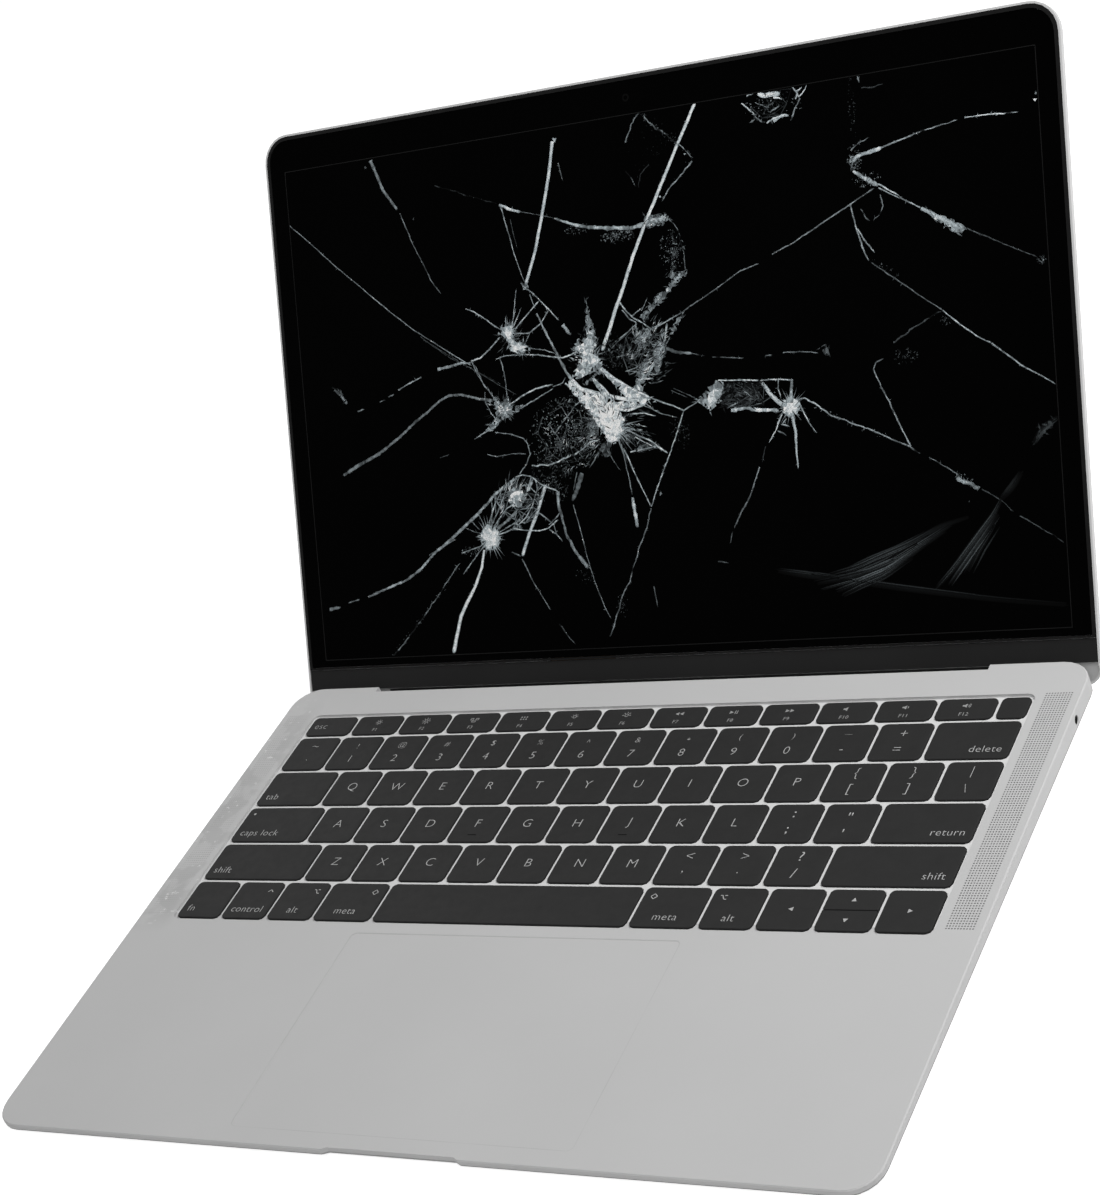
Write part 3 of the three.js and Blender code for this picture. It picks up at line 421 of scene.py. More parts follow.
def lay_keys():
    """Name, legend and edges of every key."""
    keys = []
    for level, row in enumerate(ROWS):
        x, y = KEYBOARD_LEFT, KEYBOARD_FRONT + level * ROW_PITCH
        for text, units, name in row:
            keys.append((name, text, x, y, x + units * KEY_PITCH - KEY_GAP, y + ROW_PITCH - ROW_GAP))
            x += units * KEY_PITCH
    y0 = KEYBOARD_REAR - FUNCTION_ROW_HEIGHT
    pitch = (KEYBOARD_WIDTH - POWER_KEY_WIDTH) / FUNCTION_KEYS
    for i in range(FUNCTION_KEYS):
        x = KEYBOARD_LEFT + i * pitch
        keys.append(("" if i else "esc", f"F{i}" if i else "esc", x, y0, x + pitch - KEY_GAP, KEYBOARD_REAR))
    x = KEYBOARD_LEFT + KEYBOARD_WIDTH - POWER_KEY_WIDTH
    keys.append(("power", "", x, y0, x + POWER_KEY_WIDTH, KEYBOARD_REAR))
    return keys


# Rings of a cap: inset and height from its top. They roll over the edge and down into the dish
CAP_RINGS = ((0.0, -CAP_THICKNESS), (0.0, -0.22), (0.05, -0.09), (0.16, -0.02), (0.34, 0.0), (1.9, -0.05))
CAP_STEPS, CAP_LEAST_RADIUS = 5, 0.12


def add_cap(pile, x0, y0, x1, y1, near=KEY_RADIUS, far=KEY_RADIUS):
    """A key cap with a rolled upper edge and a shallow dish."""
    rings = []
    for inset, drop in CAP_RINGS:
        gap = HOLE_CLEARANCE + inset
        near_radius, far_radius = (max(r - gap, CAP_LEAST_RADIUS) for r in (near, far))
        outline = rounded(x0 + gap, y0 + gap, x1 - gap, y1 - gap, near_radius, CAP_STEPS, far_radius)
        rings.append(pile.ring(outline, KEY_TOP + drop))
    pile.stack(rings)


# Legends: plain letters, figures and signs, thin and flush on the caps
INK_LIFT = KEY_TOP + 0.012
LETTER_SPACING, CURVE_STEPS = 1.06, 3
# The third mark is painted shade: the dark bar on F and J stands for the shade of their raised ridges
MAIN_INK, FAINT_INK, RIDGE_SHADE = 0, 1, 2  # the marks of a legend's surfaces
LETTER_THIN, WORD_THIN, FINE_THIN = 0.018, 0.011, 0.004  # how much the font's strokes are thinned
LETTER_SIZE, LETTER_RISE = 5.2, 0.3
WORD_SIZE, WORD_INSET, WORD_RISE, WORD_MIDDLE = 4.1, 2.9, 0.24, 0.26
ESC_INSET, ESC_DROP = 2.6, 0.4
ICON_SIZE, ICON_RISE, ICON_LINE, NUMBER_SIZE, NUMBER_RISE = 2.1, 0.64, 0.14, 2.2, 0.25
DIGIT_SIZE, DIGIT_DROP, DIGIT_SIGN_SIZE, DIGIT_SIGN_DROP = 5.0, 0.68, 3.6, 0.3
SIGN_SIZE, SIGN_DROP, LOWER_SIGN_DROP = 5.6, 0.28, 0.7
MODIFIER_INSET, MODIFIER_DROP, MODIFIER_LINE = 4.0, 4.2, 0.28
ARROW_SIZE, BAR_RISE = 1.5, 0.2
LOCK_RADIUS, LOCK_INSET, LOCK_DROP = 0.5, 3.3, 3.4
glyphs = {}


def glyph(text, thin):
    """Flat points and faces of a word at size 1, centred."""
    if (text, thin) not in glyphs:
        curve = bpy.data.curves.new("glyph", "FONT")
        curve.body = text
        curve.size = 1.0
        curve.offset = -thin
        curve.space_character = LETTER_SPACING
        curve.resolution_u = CURVE_STEPS
        holder = bpy.data.objects.new("glyph", curve)
        bpy.context.scene.collection.objects.link(holder)
        bpy.context.view_layer.update()
        mesh = bpy.data.meshes.new_from_object(holder.evaluated_get(bpy.context.evaluated_depsgraph_get()))
        points = [(v.co.x, v.co.y) for v in mesh.vertices]
        faces = [tuple(p.vertices) for p in mesh.polygons]
        bpy.data.meshes.remove(mesh)
        bpy.data.objects.remove(holder)
        bpy.data.curves.remove(curve)
        glyphs[text, thin] = (points, faces)
    return glyphs[text, thin]


def write(pile, text, x, y, size, align="centre", thin=LETTER_THIN, mark=MAIN_INK, middle=None):
    """Text at a place. middle is the height within the letters that comes there, or else their own middle."""
    points, faces = glyph(text, thin)
    if not points:
        return
    xs, ys = [p[0] for p in points], [p[1] for p in points]
    shift = {"centre": -(min(xs) + max(xs)) / 2, "left": -min(xs), "right": -max(xs)}[align]
    if middle is None:
        middle = (min(ys) + max(ys)) / 2
    start = len(pile.verts)
    pile.verts += [(x + (px + shift) * size, y + (py - middle) * size, INK_LIFT) for px, py in points]
    for f in faces:
        pile.face([start + i for i in f], mark)


def write_word(pile, text, x, y, align):
    write(pile, text, x, y, WORD_SIZE, align, WORD_THIN, MAIN_INK, WORD_MIDDLE)


def polygon(pile, points, x, y, size, mark=MAIN_INK):
    start = len(pile.verts)
    pile.verts += [(x + px * size, y + py * size, INK_LIFT) for px, py in points]
    pile.face(range(start, start + len(points)), mark)


def stroke(pile, points, x, y, size, width, mark=MAIN_INK):
    """A line of even width through points."""
    for (ax, ay), (bx, by) in zip(points, points[1:]):
        length = math.hypot(bx - ax, by - ay) or 1
        nx, ny = -(by - ay) / length * width / 2, (bx - ax) / length * width / 2
        polygon(pile, [(ax + nx, ay + ny), (ax - nx, ay - ny), (bx - nx, by - ny), (bx + nx, by + ny)],
                x, y, size, mark)


LEFT_ARROW = [(0.5, 0.55), (-0.5, 0.0), (0.5, -0.55)]
RIGHT_ARROW = [(-x, -y) for x, y in LEFT_ARROW]
UP_ARROW = [(y, -x) for x, y in LEFT_ARROW]
DOWN_ARROW = [(y, x) for x, y in LEFT_ARROW][::-1]
SQUARE = [(-1, -1), (1, -1), (1, 1), (-1, 1)]
ROUND_SIDES = 8
SUN_RADIUS, SUN_INNER, SUN_REACH, LOW_SUN_REACH, HORIZON = 0.32, 0.5, 0.8, 0.65, -0.1
WINDOWS, WINDOW_LINE = ((-0.5, 0.1, 0.5, 0.4), (0.5, 0.1, 0.5, 0.4), (0, -0.45, 0.7, 0.3)), 0.13
DOT_HALF, DOT_PITCH, DOT_COLUMNS, DOT_ROWS = 0.13, 0.5, 3, 2
PLAY_SIZE, PLAY_LEFT, PLAY_RIGHT, PAUSE_BARS, PAUSE_HALF = 1.4, 0.9, 0.75, (0.2, 0.55), 0.4
HORN = [(-0.7, -0.16), (-0.4, -0.16), (0, -0.45), (0, 0.45), (-0.4, 0.16), (-0.7, 0.16)]
WAVE_RADIUS, WAVE_PITCH, WAVE_ANGLES, WAVE_LINE = 0.3, 0.28, (-0.8, -0.4, 0, 0.4, 0.8), 0.12


def icon(pile, number, x, y):
    """A small sign over each function number: light, windows, playing and sound, of the plainest kind."""
    if number in (1, 2, 5, 6):
        ring = circle(SUN_RADIUS, ROUND_SIDES)
        stroke(pile, ring + ring[:1], x, y, ICON_SIZE, ICON_LINE, FAINT_INK)
        reach = SUN_REACH if number in (2, 6) else LOW_SUN_REACH
        for c, s in circle(1.0, ROUND_SIDES):
            if number < 3 or s >= HORIZON:
                stroke(pile, [(SUN_INNER * c, SUN_INNER * s), (reach * c, reach * s)], x, y, ICON_SIZE,
                       ICON_LINE, FAINT_INK)
    elif number == 3:
        for dx, dy, w, h in WINDOWS:
            box = [(dx + i * w / 2, dy + j * h / 2) for i, j in SQUARE + SQUARE[:1]]
            stroke(pile, box, x, y, ICON_SIZE, WINDOW_LINE, FAINT_INK)
    elif number == 4:
        for row in range(DOT_ROWS):
            for column in range(DOT_COLUMNS):
                dx, dy = (column - 1) * DOT_PITCH, (row - 0.5) * DOT_PITCH
                dot = [(i * DOT_HALF + dx, j * DOT_HALF + dy) for i, j in SQUARE]
                polygon(pile, dot, x, y, ICON_SIZE, FAINT_INK)
    elif number in (7, 8, 9):
        shape = LEFT_ARROW if number == 7 else RIGHT_ARROW
        polygon(pile, shape, x - PLAY_LEFT, y, PLAY_SIZE, FAINT_INK)
        if number == 8:
            for dx in PAUSE_BARS:
                stroke(pile, [(dx, -PAUSE_HALF), (dx, PAUSE_HALF)], x, y, ICON_SIZE, ICON_LINE, FAINT_INK)
        else:
            polygon(pile, shape, x + PLAY_RIGHT, y, PLAY_SIZE, FAINT_INK)
    else:
        polygon(pile, HORN, x, y, ICON_SIZE, FAINT_INK)
        for i in range(number - 10):
            r = WAVE_RADIUS + WAVE_PITCH * i
            bow = [(r * math.cos(a), r * math.sin(a)) for a in WAVE_ANGLES]
            stroke(pile, bow, x, y, ICON_SIZE, WAVE_LINE, FAINT_INK)


# The lines of each modifier's sign, and their width
MODIFIER_SIGNS = {
    "^": ([[(-1, -0.5), (0, 0.5), (1, -0.5)]], 0.3),
    "*": ([[(-1.2, 0.8), (-0.5, 0.8), (0.4, -0.8), (1.2, -0.8)], [(0.3, 0.8), (1.2, 0.8)]], MODIFIER_LINE),
    "+": ([[(0, 1.1), (1.1, 0), (0, -1.1), (-1.1, 0), (0, 1.1)]], MODIFIER_LINE),
}
BAR = [(-1.6, -0.14), (1.6, -0.14), (1.6, 0.14), (-1.6, 0.14)]


def add_legend(pile, name, text, x0, y0, x1, y1):
    """The signs of one key, by the kind of key."""
    cx, cy, h = (x0 + x1) / 2, (y0 + y1) / 2, y1 - y0
    word_y = y0 + WORD_RISE * h
    if name == "esc":
        write(pile, "esc", x0 + ESC_INSET, cy - ESC_DROP, WORD_SIZE, "left", WORD_THIN, FAINT_INK)
    elif text.startswith("F") and text != "F":
        icon(pile, int(text[1:]), cx, y0 + ICON_RISE * h)
        write(pile, text, cx, y0 + NUMBER_RISE * h, NUMBER_SIZE, "centre", 0.0, FAINT_INK)
    elif name in ("control", "option_left", "meta_left", "meta_right", "option_right"):
        word = text.strip("^*+")
        sign = text.replace(word, "")
        write_word(pile, word, cx, word_y, "centre")
        sign_x = x0 + MODIFIER_INSET if text.startswith(sign) else x1 - MODIFIER_INSET
        lines, width = MODIFIER_SIGNS[sign]
        for line in lines:
            stroke(pile, line, sign_x, y1 - MODIFIER_DROP, 1.0, width)
    elif name in ("arrow_left", "arrow_right"):
        polygon(pile, LEFT_ARROW if name == "arrow_left" else RIGHT_ARROW, cx, cy, ARROW_SIZE)
    elif text.startswith("~") and len(text) > 2:
        write_word(pile, text[1:], x1 - WORD_INSET, word_y, "right")
    elif name:
        if text:
            write_word(pile, text, x0 + WORD_INSET, word_y, "left")
        if name == "caps_lock":
            polygon(pile, circle(LOCK_RADIUS, ROUND_SIDES), x0 + LOCK_INSET, y1 - LOCK_DROP, 1.0)
    elif len(text) == 2:
        upper, lower = (DIGIT_SIGN_SIZE, DIGIT_SIGN_DROP), (DIGIT_SIZE, DIGIT_DROP)
        if not text[1].isdigit():
            upper, lower = (SIGN_SIZE, SIGN_DROP), (SIGN_SIZE, LOWER_SIGN_DROP)
        thin = FINE_THIN if text[0] in "?:\"" else LETTER_THIN
        for sign, (size, drop) in zip(text, (upper, lower)):
            write(pile, sign, cx, y1 - drop * h, size, thin=thin)
    else:
        write(pile, text, cx, cy + LETTER_RISE, LETTER_SIZE)
        # Painted shade: a dark bar for the raised ridge on F and J
        if text in "FJ":
            polygon(pile, BAR, cx, y0 + BAR_RISE * h, 1.0, RIDGE_SHADE)


def make_keyboard():
    equal, ink = Pile(), Pile()
    equal.slab(rounded(KEYBOARD_LEFT - CARRIER_MARGIN, KEYBOARD_FRONT - CARRIER_MARGIN,
                       -KEYBOARD_LEFT + CARRIER_MARGIN, KEYBOARD_REAR + CARRIER_MARGIN, STEM_RADIUS, 1),
               CARRIER_TOP - CARRIER_THICKNESS, CARRIER_TOP)
    for name, text, x0, y0, x1, y1 in lay_keys():
        cx, cy = (x0 + x1) / 2, (y0 + y1) / 2
        if not name:
            add_cap(equal, x0, y0, x1, y1)
            stem = rounded(cx - STEM / 2, cy - STEM / 2, cx + STEM / 2, cy + STEM / 2, STEM_RADIUS, 1)
            equal.slab(stem, CARRIER_TOP, KEY_TOP - CAP_THICKNESS)
            add_legend(ink, name, text, x0, y0, x1, y1)
        elif name == "arrows":
            half_gap = ARROW_SPLIT - HOLE_CLEARANCE
            for part, low, high, shape, near, far in (
                ("arrow_up", cy + half_gap, y1, UP_ARROW, ARROW_SPLIT_RADIUS, KEY_RADIUS),
                ("arrow_down", y0, cy - half_gap, DOWN_ARROW, KEY_RADIUS, ARROW_SPLIT_RADIUS),
            ):
                cap, sign = Pile(), Pile()
                add_cap(cap, x0, low, x1, high, near, far)
                polygon(sign, shape, cx, (low + high) / 2, ARROW_SIZE)
                finish_key(part, cap, sign)
        else:
            cap, sign = Pile(), Pile()
            add_cap(cap, x0, y0, x1, y1)
            add_legend(sign, name, text, x0, y0, x1, y1)
            finish_key(name, cap, sign)
    plate = equal.piece("letter_keys", [key_plastic], "base", "key_plastic", smooth=True)
    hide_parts("keyboard_plate")
    ink.piece("letter_key_legends", [legend_ink, dim_ink, dark_and_painted_shade], "base", "key_plastic")


def finish_key(name, cap, sign):
    """A cap in the place of its CAD key, and its legend, both on the key's own body."""
    piece = cap.piece("cap_" + name, [key_plastic], name + "_key", "key_plastic", smooth=True)
    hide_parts("key_" + name)
    if sign.verts:
        sign.piece("legend_" + name, [legend_ink, dim_ink], name + "_key", "key_plastic")


make_keyboard()

# Touchpad seam: a thin ring that fills the slit round the pad, a little darker than the deck as painted shade for
# the slit
PAD_WIDTH, PAD_FRONT, PAD_REAR_GAP, PAD_RADIUS, PAD_SLIT = 119.7, 6.1, 5.4, 2.0, 0.3
SEAM_PLAY, SEAM_LOW, SEAM_HIGH, SEAM_STEPS = 0.01, -0.9, -0.03, 3


def frame_piece(name, outer, inner, z0, z1, surface, body, slot, where=DECK):
    """A closed ring between two outlines."""
    pile = Pile()
    a, b = pile.ring(outer, z0), pile.ring(outer, z1)
    c, d = pile.ring(inner, z0), pile.ring(inner, z1)
    pile.bridge(a, b)
    pile.bridge(b, d)
    pile.bridge(d, c)
    pile.bridge(c, a)
    pile.piece(name, [surface], body, slot, where)


def pad_outline(inset, radius):
    """The outline of the touchpad's opening, moved in by inset."""
    half, rear = PAD_WIDTH / 2 - inset, KEYBOARD_FRONT - PAD_REAR_GAP - inset
    return rounded(-half, PAD_FRONT + inset, half, rear, radius, SEAM_STEPS)


frame_piece("touchpad_seam", pad_outline(SEAM_PLAY, PAD_RADIUS),
            pad_outline(PAD_SLIT - SEAM_PLAY, PAD_RADIUS - PAD_SLIT), SEAM_LOW, SEAM_HIGH, seam_painted_shade,
            "base", "aluminium")

# Speaker grilles: rows of small holes beside the keys, drawn as discs of painted shade
GRILLE_INNER, GRILLE_OUTER = HALF - 11.6, HALF - 2.6
GRILLE_FRONT, GRILLE_REAR = 92.7, 193.4
HOLE_PITCH, HOLE_RADIUS, HOLE_SIDES, HOLE_LIFT = 1.0, 0.29, 6, 0.012


def make_grille(side, name, surface):
    """Discs of painted hole shade on the deck in even columns and rows, at the right for side 1 and at the left
    for -1.
    """
    pile = Pile()
    columns = int((GRILLE_OUTER - GRILLE_INNER) / HOLE_PITCH) + 1
    rows = int((GRILLE_REAR - GRILLE_FRONT) / HOLE_PITCH) + 1
    for i in range(columns):
        for j in range(rows):
            x = side * (GRILLE_INNER + (i + 0.5) * (GRILLE_OUTER - GRILLE_INNER) / columns)
            y = GRILLE_FRONT + (j + 0.5) * (GRILLE_REAR - GRILLE_FRONT) / rows
            pile.face(pile.ring(circle(HOLE_RADIUS, HOLE_SIDES, x, y), HOLE_LIFT))
    pile.piece(name, [surface], "base", "aluminium")


make_grille(1, "grille_right", grille_hole_shade)
make_grille(-1, "grille_left", faint_grille_hole_shade)

# Headphone socket: a dark disc just inside its mouth, painted shade for the hole
JACK_Y, JACK_LEVEL, JACK_RADIUS, JACK_INSET, JACK_SIDES = DEPTH - 24.0, -3.1, 1.48, 0.35, 16
jack = Pile()
jack.verts = [(HALF - JACK_INSET, y, z) for y, z in circle(JACK_RADIUS, JACK_SIDES, JACK_Y, JACK_LEVEL)]
jack.face(range(JACK_SIDES))
jack.piece("jack_mouth_shade", [dark_and_painted_shade], "base", "dark_plastic")

# Display: a black pane, its faint outline and the camera's eye
LID_CLEARANCE, PANEL_DROP = 0.4, 0.15
PANEL_LEVEL = -(HINGE_DROP + LID_CLEARANCE) - PANEL_DROP
PANEL_THICKNESS, PANEL_LINE, PANEL_EDGE, PANEL_RADIUS, PANEL_STEPS = 2.3, 0.3, 0.08, 0.2, 2
ACTIVE_WIDTH, ACTIVE_HEIGHT, ACTIVE_START = 287.6, 175.3, 15.63
LINE_PLAY, LINE_LOW, LINE_HIGH = 0.02, 0.6, 0.01
EYE_HEIGHT, EYE_SIDES, EYE_LEVEL = 180.6, 20, PANEL_LEVEL + 0.05
EYE_RINGS = ((1.3, 0.03, 0), (0.7, 0.04, 1))  # radius, lift and mark


def lit_area(inset):
    """The outline of the display's lit area, moved in by inset."""
    half = ACTIVE_WIDTH / 2 - inset
    return rounded(-half, ACTIVE_START + inset, half, ACTIVE_START + ACTIVE_HEIGHT - inset, PANEL_RADIUS,
                   PANEL_STEPS)


def make_display():
    pane = Pile()
    pane.stack([pane.ring(lit_area(inset), level) for inset, level in (
        (PANEL_LINE, PANEL_LEVEL - PANEL_THICKNESS), (PANEL_LINE, PANEL_LEVEL - PANEL_EDGE),
        (PANEL_LINE + PANEL_EDGE, PANEL_LEVEL),
    )])
    piece = pane.piece("display_pane", [black_glass], "lid", "black_glass", LID)
    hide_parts("display_panel")
    frame_piece("display_outline", lit_area(LINE_PLAY), lit_area(PANEL_LINE - LINE_PLAY),
                PANEL_LEVEL - LINE_LOW, PANEL_LEVEL - LINE_HIGH, line_grey, "lid", "black_glass", LID)
    eye = Pile()
    for radius, lift, mark in EYE_RINGS:
        outline = circle(radius, EYE_SIDES, 0.0, ACTIVE_START + EYE_HEIGHT)
        eye.face(eye.ring(outline, EYE_LEVEL + lift), mark)
    eye.piece("camera_eye", [dark_and_painted_shade, black_glass], "lid", "black_glass", LID)


make_display()


# Fractures, drawn on the pane: x from the lid's left edge, s from the lit area's lower edge
def in_ellipse(count, x, s, rx, rs, power=0.5):
    """Scattered places in an ellipse, closer together in the middle when power is above a half."""
    spots = []
    for _ in range(count):
        a, r = rng.uniform(0, math.tau), rng.random() ** power
        spots.append((x + rx * r * math.cos(a), s + rs * r * math.sin(a)))
    return spots


PANE_LEFT, PANE_RIGHT, PANE_EDGE = 8.7, 295.4, 0.5
FRACTURE_LIFT, SHADE_GAMMA, CREST, SOFT_EDGE = 0.02, 2.2, 0.05, 0.5

# Cracks. A pair is the least and the most of a random share, and a swing goes below and above 1
THICK, THIN_WIDTH, THIN_SHADE = 1.05, 0.64, 1.25  # lines below THICK are drawn finer and brighter
CLEAN_SHADE, CLEAN_ROUGHNESS = 0.8, 0.3  # thick lines above this shade are smoother
CRACK_STEP, THIN_EDGE, THICK_EDGE, FADED = 0.8, 0.45, 0.8, 0.25
DRIFT_KEPT, GLOW_KEPT, GLOW_NEW, FADE_CHANCE = 0.75, 0.45, 0.55, 0.35
GLOW_SWING, WIDTH_SWING = (0.5, 0.55), (0.3, 0.25)
CHIP_CHANCE, CHIP_SIZES, CHIP_SHADE = 0.14, (0.2, 0.42), 1.8
BARB_CHANCE, BARB_LENGTHS, BARB_WIDTH, BARB_SHADE = 0.25, (0.5, 1.4), 0.3, 0.8
LAST_WIDTH, LAST_SHADE = 0.5, 0.6

# Smooth streaks of painted reflection: a wide grey haze with thin lines beside it
HAZE_SHADE, HAZE_WIDTH, STREAK_LINES, STREAK_STRAY, STREAK_WIDTH = 0.45, 2.4, 3, 0.7, 0.7
STREAK_SHADES, STREAK_STEPS, STREAK_CREST = (0.7, 1.35), 14, 0.02
SWELL_START, SWELL_POWER, SWELL_LEAST = 0.04, 0.8, 0.3

# Chips, splinters and powder
SHARD_TWIST, SHARD_REACH, SHARD_LIFT, SHARD_SHADES, CHIPS_EACH = 0.7, (0.3, 1.0), 0.07, (0.7, 1.2), 3
DUST_SIZES, DUST_SHADES = (0.4, 1.3), (0.4, 1.2)
POWDER_POWER, POWDER_SIZES, POWDER_SHADES = 0.7, (0.4, 1.4), (0.3, 1.3)
SLIVER_LIFT, SLIVER_ROOT, ROOT_SHADE, TIP_SHADE = 0.06, 0.3, 0.9, 0.35
SPLINTER_POWER, SPLINTER_ROOT, SPLINTER_SHADES = 0.6, 0.5, (0.5, 1.7)
SPLINTER_LENGTHS, LENGTH_POWER, SPLINTER_WIDTHS = (0.35, 1.0), 1.6, (0.35, 1.2)
DRIFT_LEVEL, LEAST_DRIFT = 0.42, 0.12
DRIFT_WAVES = ((1.8, 0.22, 7.0), (0.6, 0.6, 3.0))  # strength, frequency and layer of the noise

# Crushed areas
RAGGED_STEP, RAGGED_PUSH, FACET, MERGE_GAP = 0.8, 0.25, 0.95, 1e-5
RIM_LOSS, RIM_SHADE, CLOUD_STRENGTH, CLOUD_FREQUENCY, CLOUD_LAYER = 0.25, 0.8, 1.6, 0.45, 1.0
BRIGHT, BRIGHT_LIFT, FACET_LIFT, FACET_GAIN = 0.8, 0.08, 0.03, 0.5
FRINGE_CHANCE, FRINGE_TURN, FRINGE_LENGTHS = 0.45, (-0.9, 0.1), (0.8, 2.6)
FRINGE_WIDTHS, FRINGE_SHADES = (0.2, 0.6), (0.4, 1.0)

# Webs and rays
WEB_GAP, WEB_SHADES, WEB_WIDTHS, WEB_FADE, LEAST_WEB = 1e-6, (0.2, 1.3), (0.5, 1.6), (0.4, 1), 0.08
RAY_JITTER, RAY_REACH = (0.1, 0.9), (0.4, 1.0)
RAY_SHOULDER, RAY_WAIST, RAY_FADE, RAY_TIP = 0.8, 0.45, 0.75, 0.08


class Fracture(Pile):
    """Collects broken glass. Each point has a shade from 0 for black to 1 for frosted."""

    def point(self, x, s, lift, shade):
        x = min(max(x, PANE_LEFT), PANE_RIGHT)
        s = min(max(s, PANE_EDGE), ACTIVE_HEIGHT - PANE_EDGE)
        self.verts.append((x - HALF, s + ACTIVE_START, PANEL_LEVEL + FRACTURE_LIFT + lift))
        self.shades.append(min(max(shade, 0.0), 1.0) ** SHADE_GAMMA)
        return len(self.verts) - 1

    def strip(self, line, edge=SOFT_EDGE, crest=CREST):
        """A low ridge along a line of (x, s, width, shade). edge is the share of the shade at its sides."""
        last = None
        for i, (x, s, width, shade) in enumerate(line):
            ax, as_ = line[max(i - 1, 0)][:2]
            bx, bs = line[min(i + 1, len(line) - 1)][:2]
            length = math.hypot(bx - ax, bs - as_) or 1.0
            nx, ns = -(bs - as_) / length * width / 2, (bx - ax) / length * width / 2
            row = (self.point(x + nx, s + ns, 0, shade * edge), self.point(x, s, crest, shade),
                   self.point(x - nx, s - ns, 0, shade * edge))
            if last:
                self.face((last[0], last[1], row[1], row[0]))
                self.face((last[1], last[2], row[2], row[1]))
            last = row

    def crack(self, width, taper, shade, points, wander=0.1, breaks=0):
        """A jagged line through points, from width to taper. breaks is the share of it that fades out."""
        total = sum(math.dist(a, b) for a, b in zip(points, points[1:]))
        thin = max(width, taper) < THICK
        if thin:
            width, taper, shade = width * THIN_WIDTH, taper * THIN_WIDTH, shade * THIN_SHADE
        rough = 1.0 if thin or shade < CLEAN_SHADE else CLEAN_ROUGHNESS
        glows, widths = ((1 - low * rough, 1 + high * rough) for low, high in (GLOW_SWING, WIDTH_SWING))
        line, done, drift, faded, glow = [], 0.0, 0.0, False, 1.0
        for a, b in zip(points, points[1:]):
            length = math.dist(a, b)
            count = max(int(length / CRACK_STEP), 1)
            for k in range(count):
                t = k / count
                share = (done + t * length) / total
                drift = DRIFT_KEPT * drift + rng.gauss(0, wander / 2)
                glow = GLOW_KEPT * glow + GLOW_NEW * rng.uniform(*glows)
                if rng.random() < FADE_CHANCE:
                    faded = rng.random() < breaks
                w = (width + (taper - width) * share) * rng.uniform(*widths)
                x = a[0] + (b[0] - a[0]) * t - (b[1] - a[1]) / length * drift
                s = a[1] + (b[1] - a[1]) * t + (b[0] - a[0]) / length * drift
                line.append((x, s, w, shade * (FADED if faded else glow)))
                if rng.random() < CHIP_CHANCE * (1 - breaks):
                    self.shard(x, s, rng.uniform(*CHIP_SIZES), min(shade * CHIP_SHADE, 1.0))
                if rng.random() < shade * BARB_CHANCE:
                    self.sliver(x, s, rng.uniform(0, math.tau), rng.uniform(*BARB_LENGTHS), BARB_WIDTH,
                                shade * glow * BARB_SHADE)
            done += length
        line.append((*points[-1], taper * LAST_WIDTH, shade * LAST_SHADE))
        self.strip(line, THIN_EDGE if thin else THICK_EDGE)

    def streak(self, points, width, shade):
        """A smooth soft streak of painted reflection that fades out at both ends."""
        line = []
        for i in range(STREAK_STEPS + 1):
            t = i / STREAK_STEPS
            k = min(int(t * (len(points) - 1)), len(points) - 2)
            u = t * (len(points) - 1) - k
            (ax, as_), (bx, bs) = points[k], points[k + 1]
            swell = math.sin(math.pi * (SWELL_START + (1 - 2 * SWELL_START) * t)) ** SWELL_POWER
            w = width * (SWELL_LEAST + (1 - SWELL_LEAST) * swell)
            line.append((ax + (bx - ax) * u, as_ + (bs - as_) * u, w, shade * swell))
        self.strip(line, 0.0, STREAK_CREST)

    def streaks(self, shade, points):
        """Painted reflection: a wide grey haze with thin streaks beside it."""
        self.streak(points, HAZE_WIDTH, shade * HAZE_SHADE)
        for _ in range(STREAK_LINES):
            dx, ds = rng.gauss(0, STREAK_STRAY), rng.gauss(0, STREAK_STRAY)
            cut = rng.randrange(max(len(points) - 3, 1))
            moved = [(x + dx, s + ds) for x, s in points[cut:]]
            self.streak(moved, STREAK_WIDTH, shade * rng.uniform(*STREAK_SHADES))

    def shard(self, x, s, size, shade):
        """A three-cornered chip."""
        turn = rng.uniform(0, math.tau)
        corners = []
        for k in range(3):
            a = turn + k * math.tau / 3 + rng.uniform(-SHARD_TWIST, SHARD_TWIST)
            r = size * rng.uniform(*SHARD_REACH)
            corners.append(self.point(x + r * math.cos(a), s + r * math.sin(a), rng.uniform(0, SHARD_LIFT),
                                      shade * rng.uniform(*SHARD_SHADES)))
        self.face(corners)

    def chip(self, x, s, size, shade):
        """A bright point: a few chips on one spot."""
        for _ in range(CHIPS_EACH):
            self.shard(x, s, size, shade)

    def dust(self, points, spread, count, size, shade):
        """Chips scattered along a line."""
        for _ in range(count):
            i = rng.randrange(len(points) - 1)
            t = rng.random()
            x = points[i][0] + (points[i + 1][0] - points[i][0]) * t + rng.gauss(0, spread)
            s = points[i][1] + (points[i + 1][1] - points[i][1]) * t + rng.gauss(0, spread)
            self.shard(x, s, size * rng.uniform(*DUST_SIZES), shade * rng.uniform(*DUST_SHADES))

    def powder(self, count, x, s, rx, rs, size, shade):
        """Tiny chips in an ellipse."""
        for px, ps in in_ellipse(count, x, s, rx, rs, POWDER_POWER):
            self.shard(px, ps, size * rng.uniform(*POWDER_SIZES), shade * rng.uniform(*POWDER_SHADES))

    def sliver(self, x, s, angle, length, width, shade, root=SLIVER_ROOT, lift=SLIVER_LIFT):
        """A thin splinter from a place, widest near its root."""
        c, n = math.cos(angle), math.sin(angle)
        rows = ((0, 0, ROOT_SHADE), (length * root, width / 2, 1.0), (length, 0, TIP_SHADE),
                (length * root, -width / 2, 1.0))
        self.face([self.point(x + d * c - w * n, s + d * n + w * c, lift, shade * b) for d, w, b in rows])

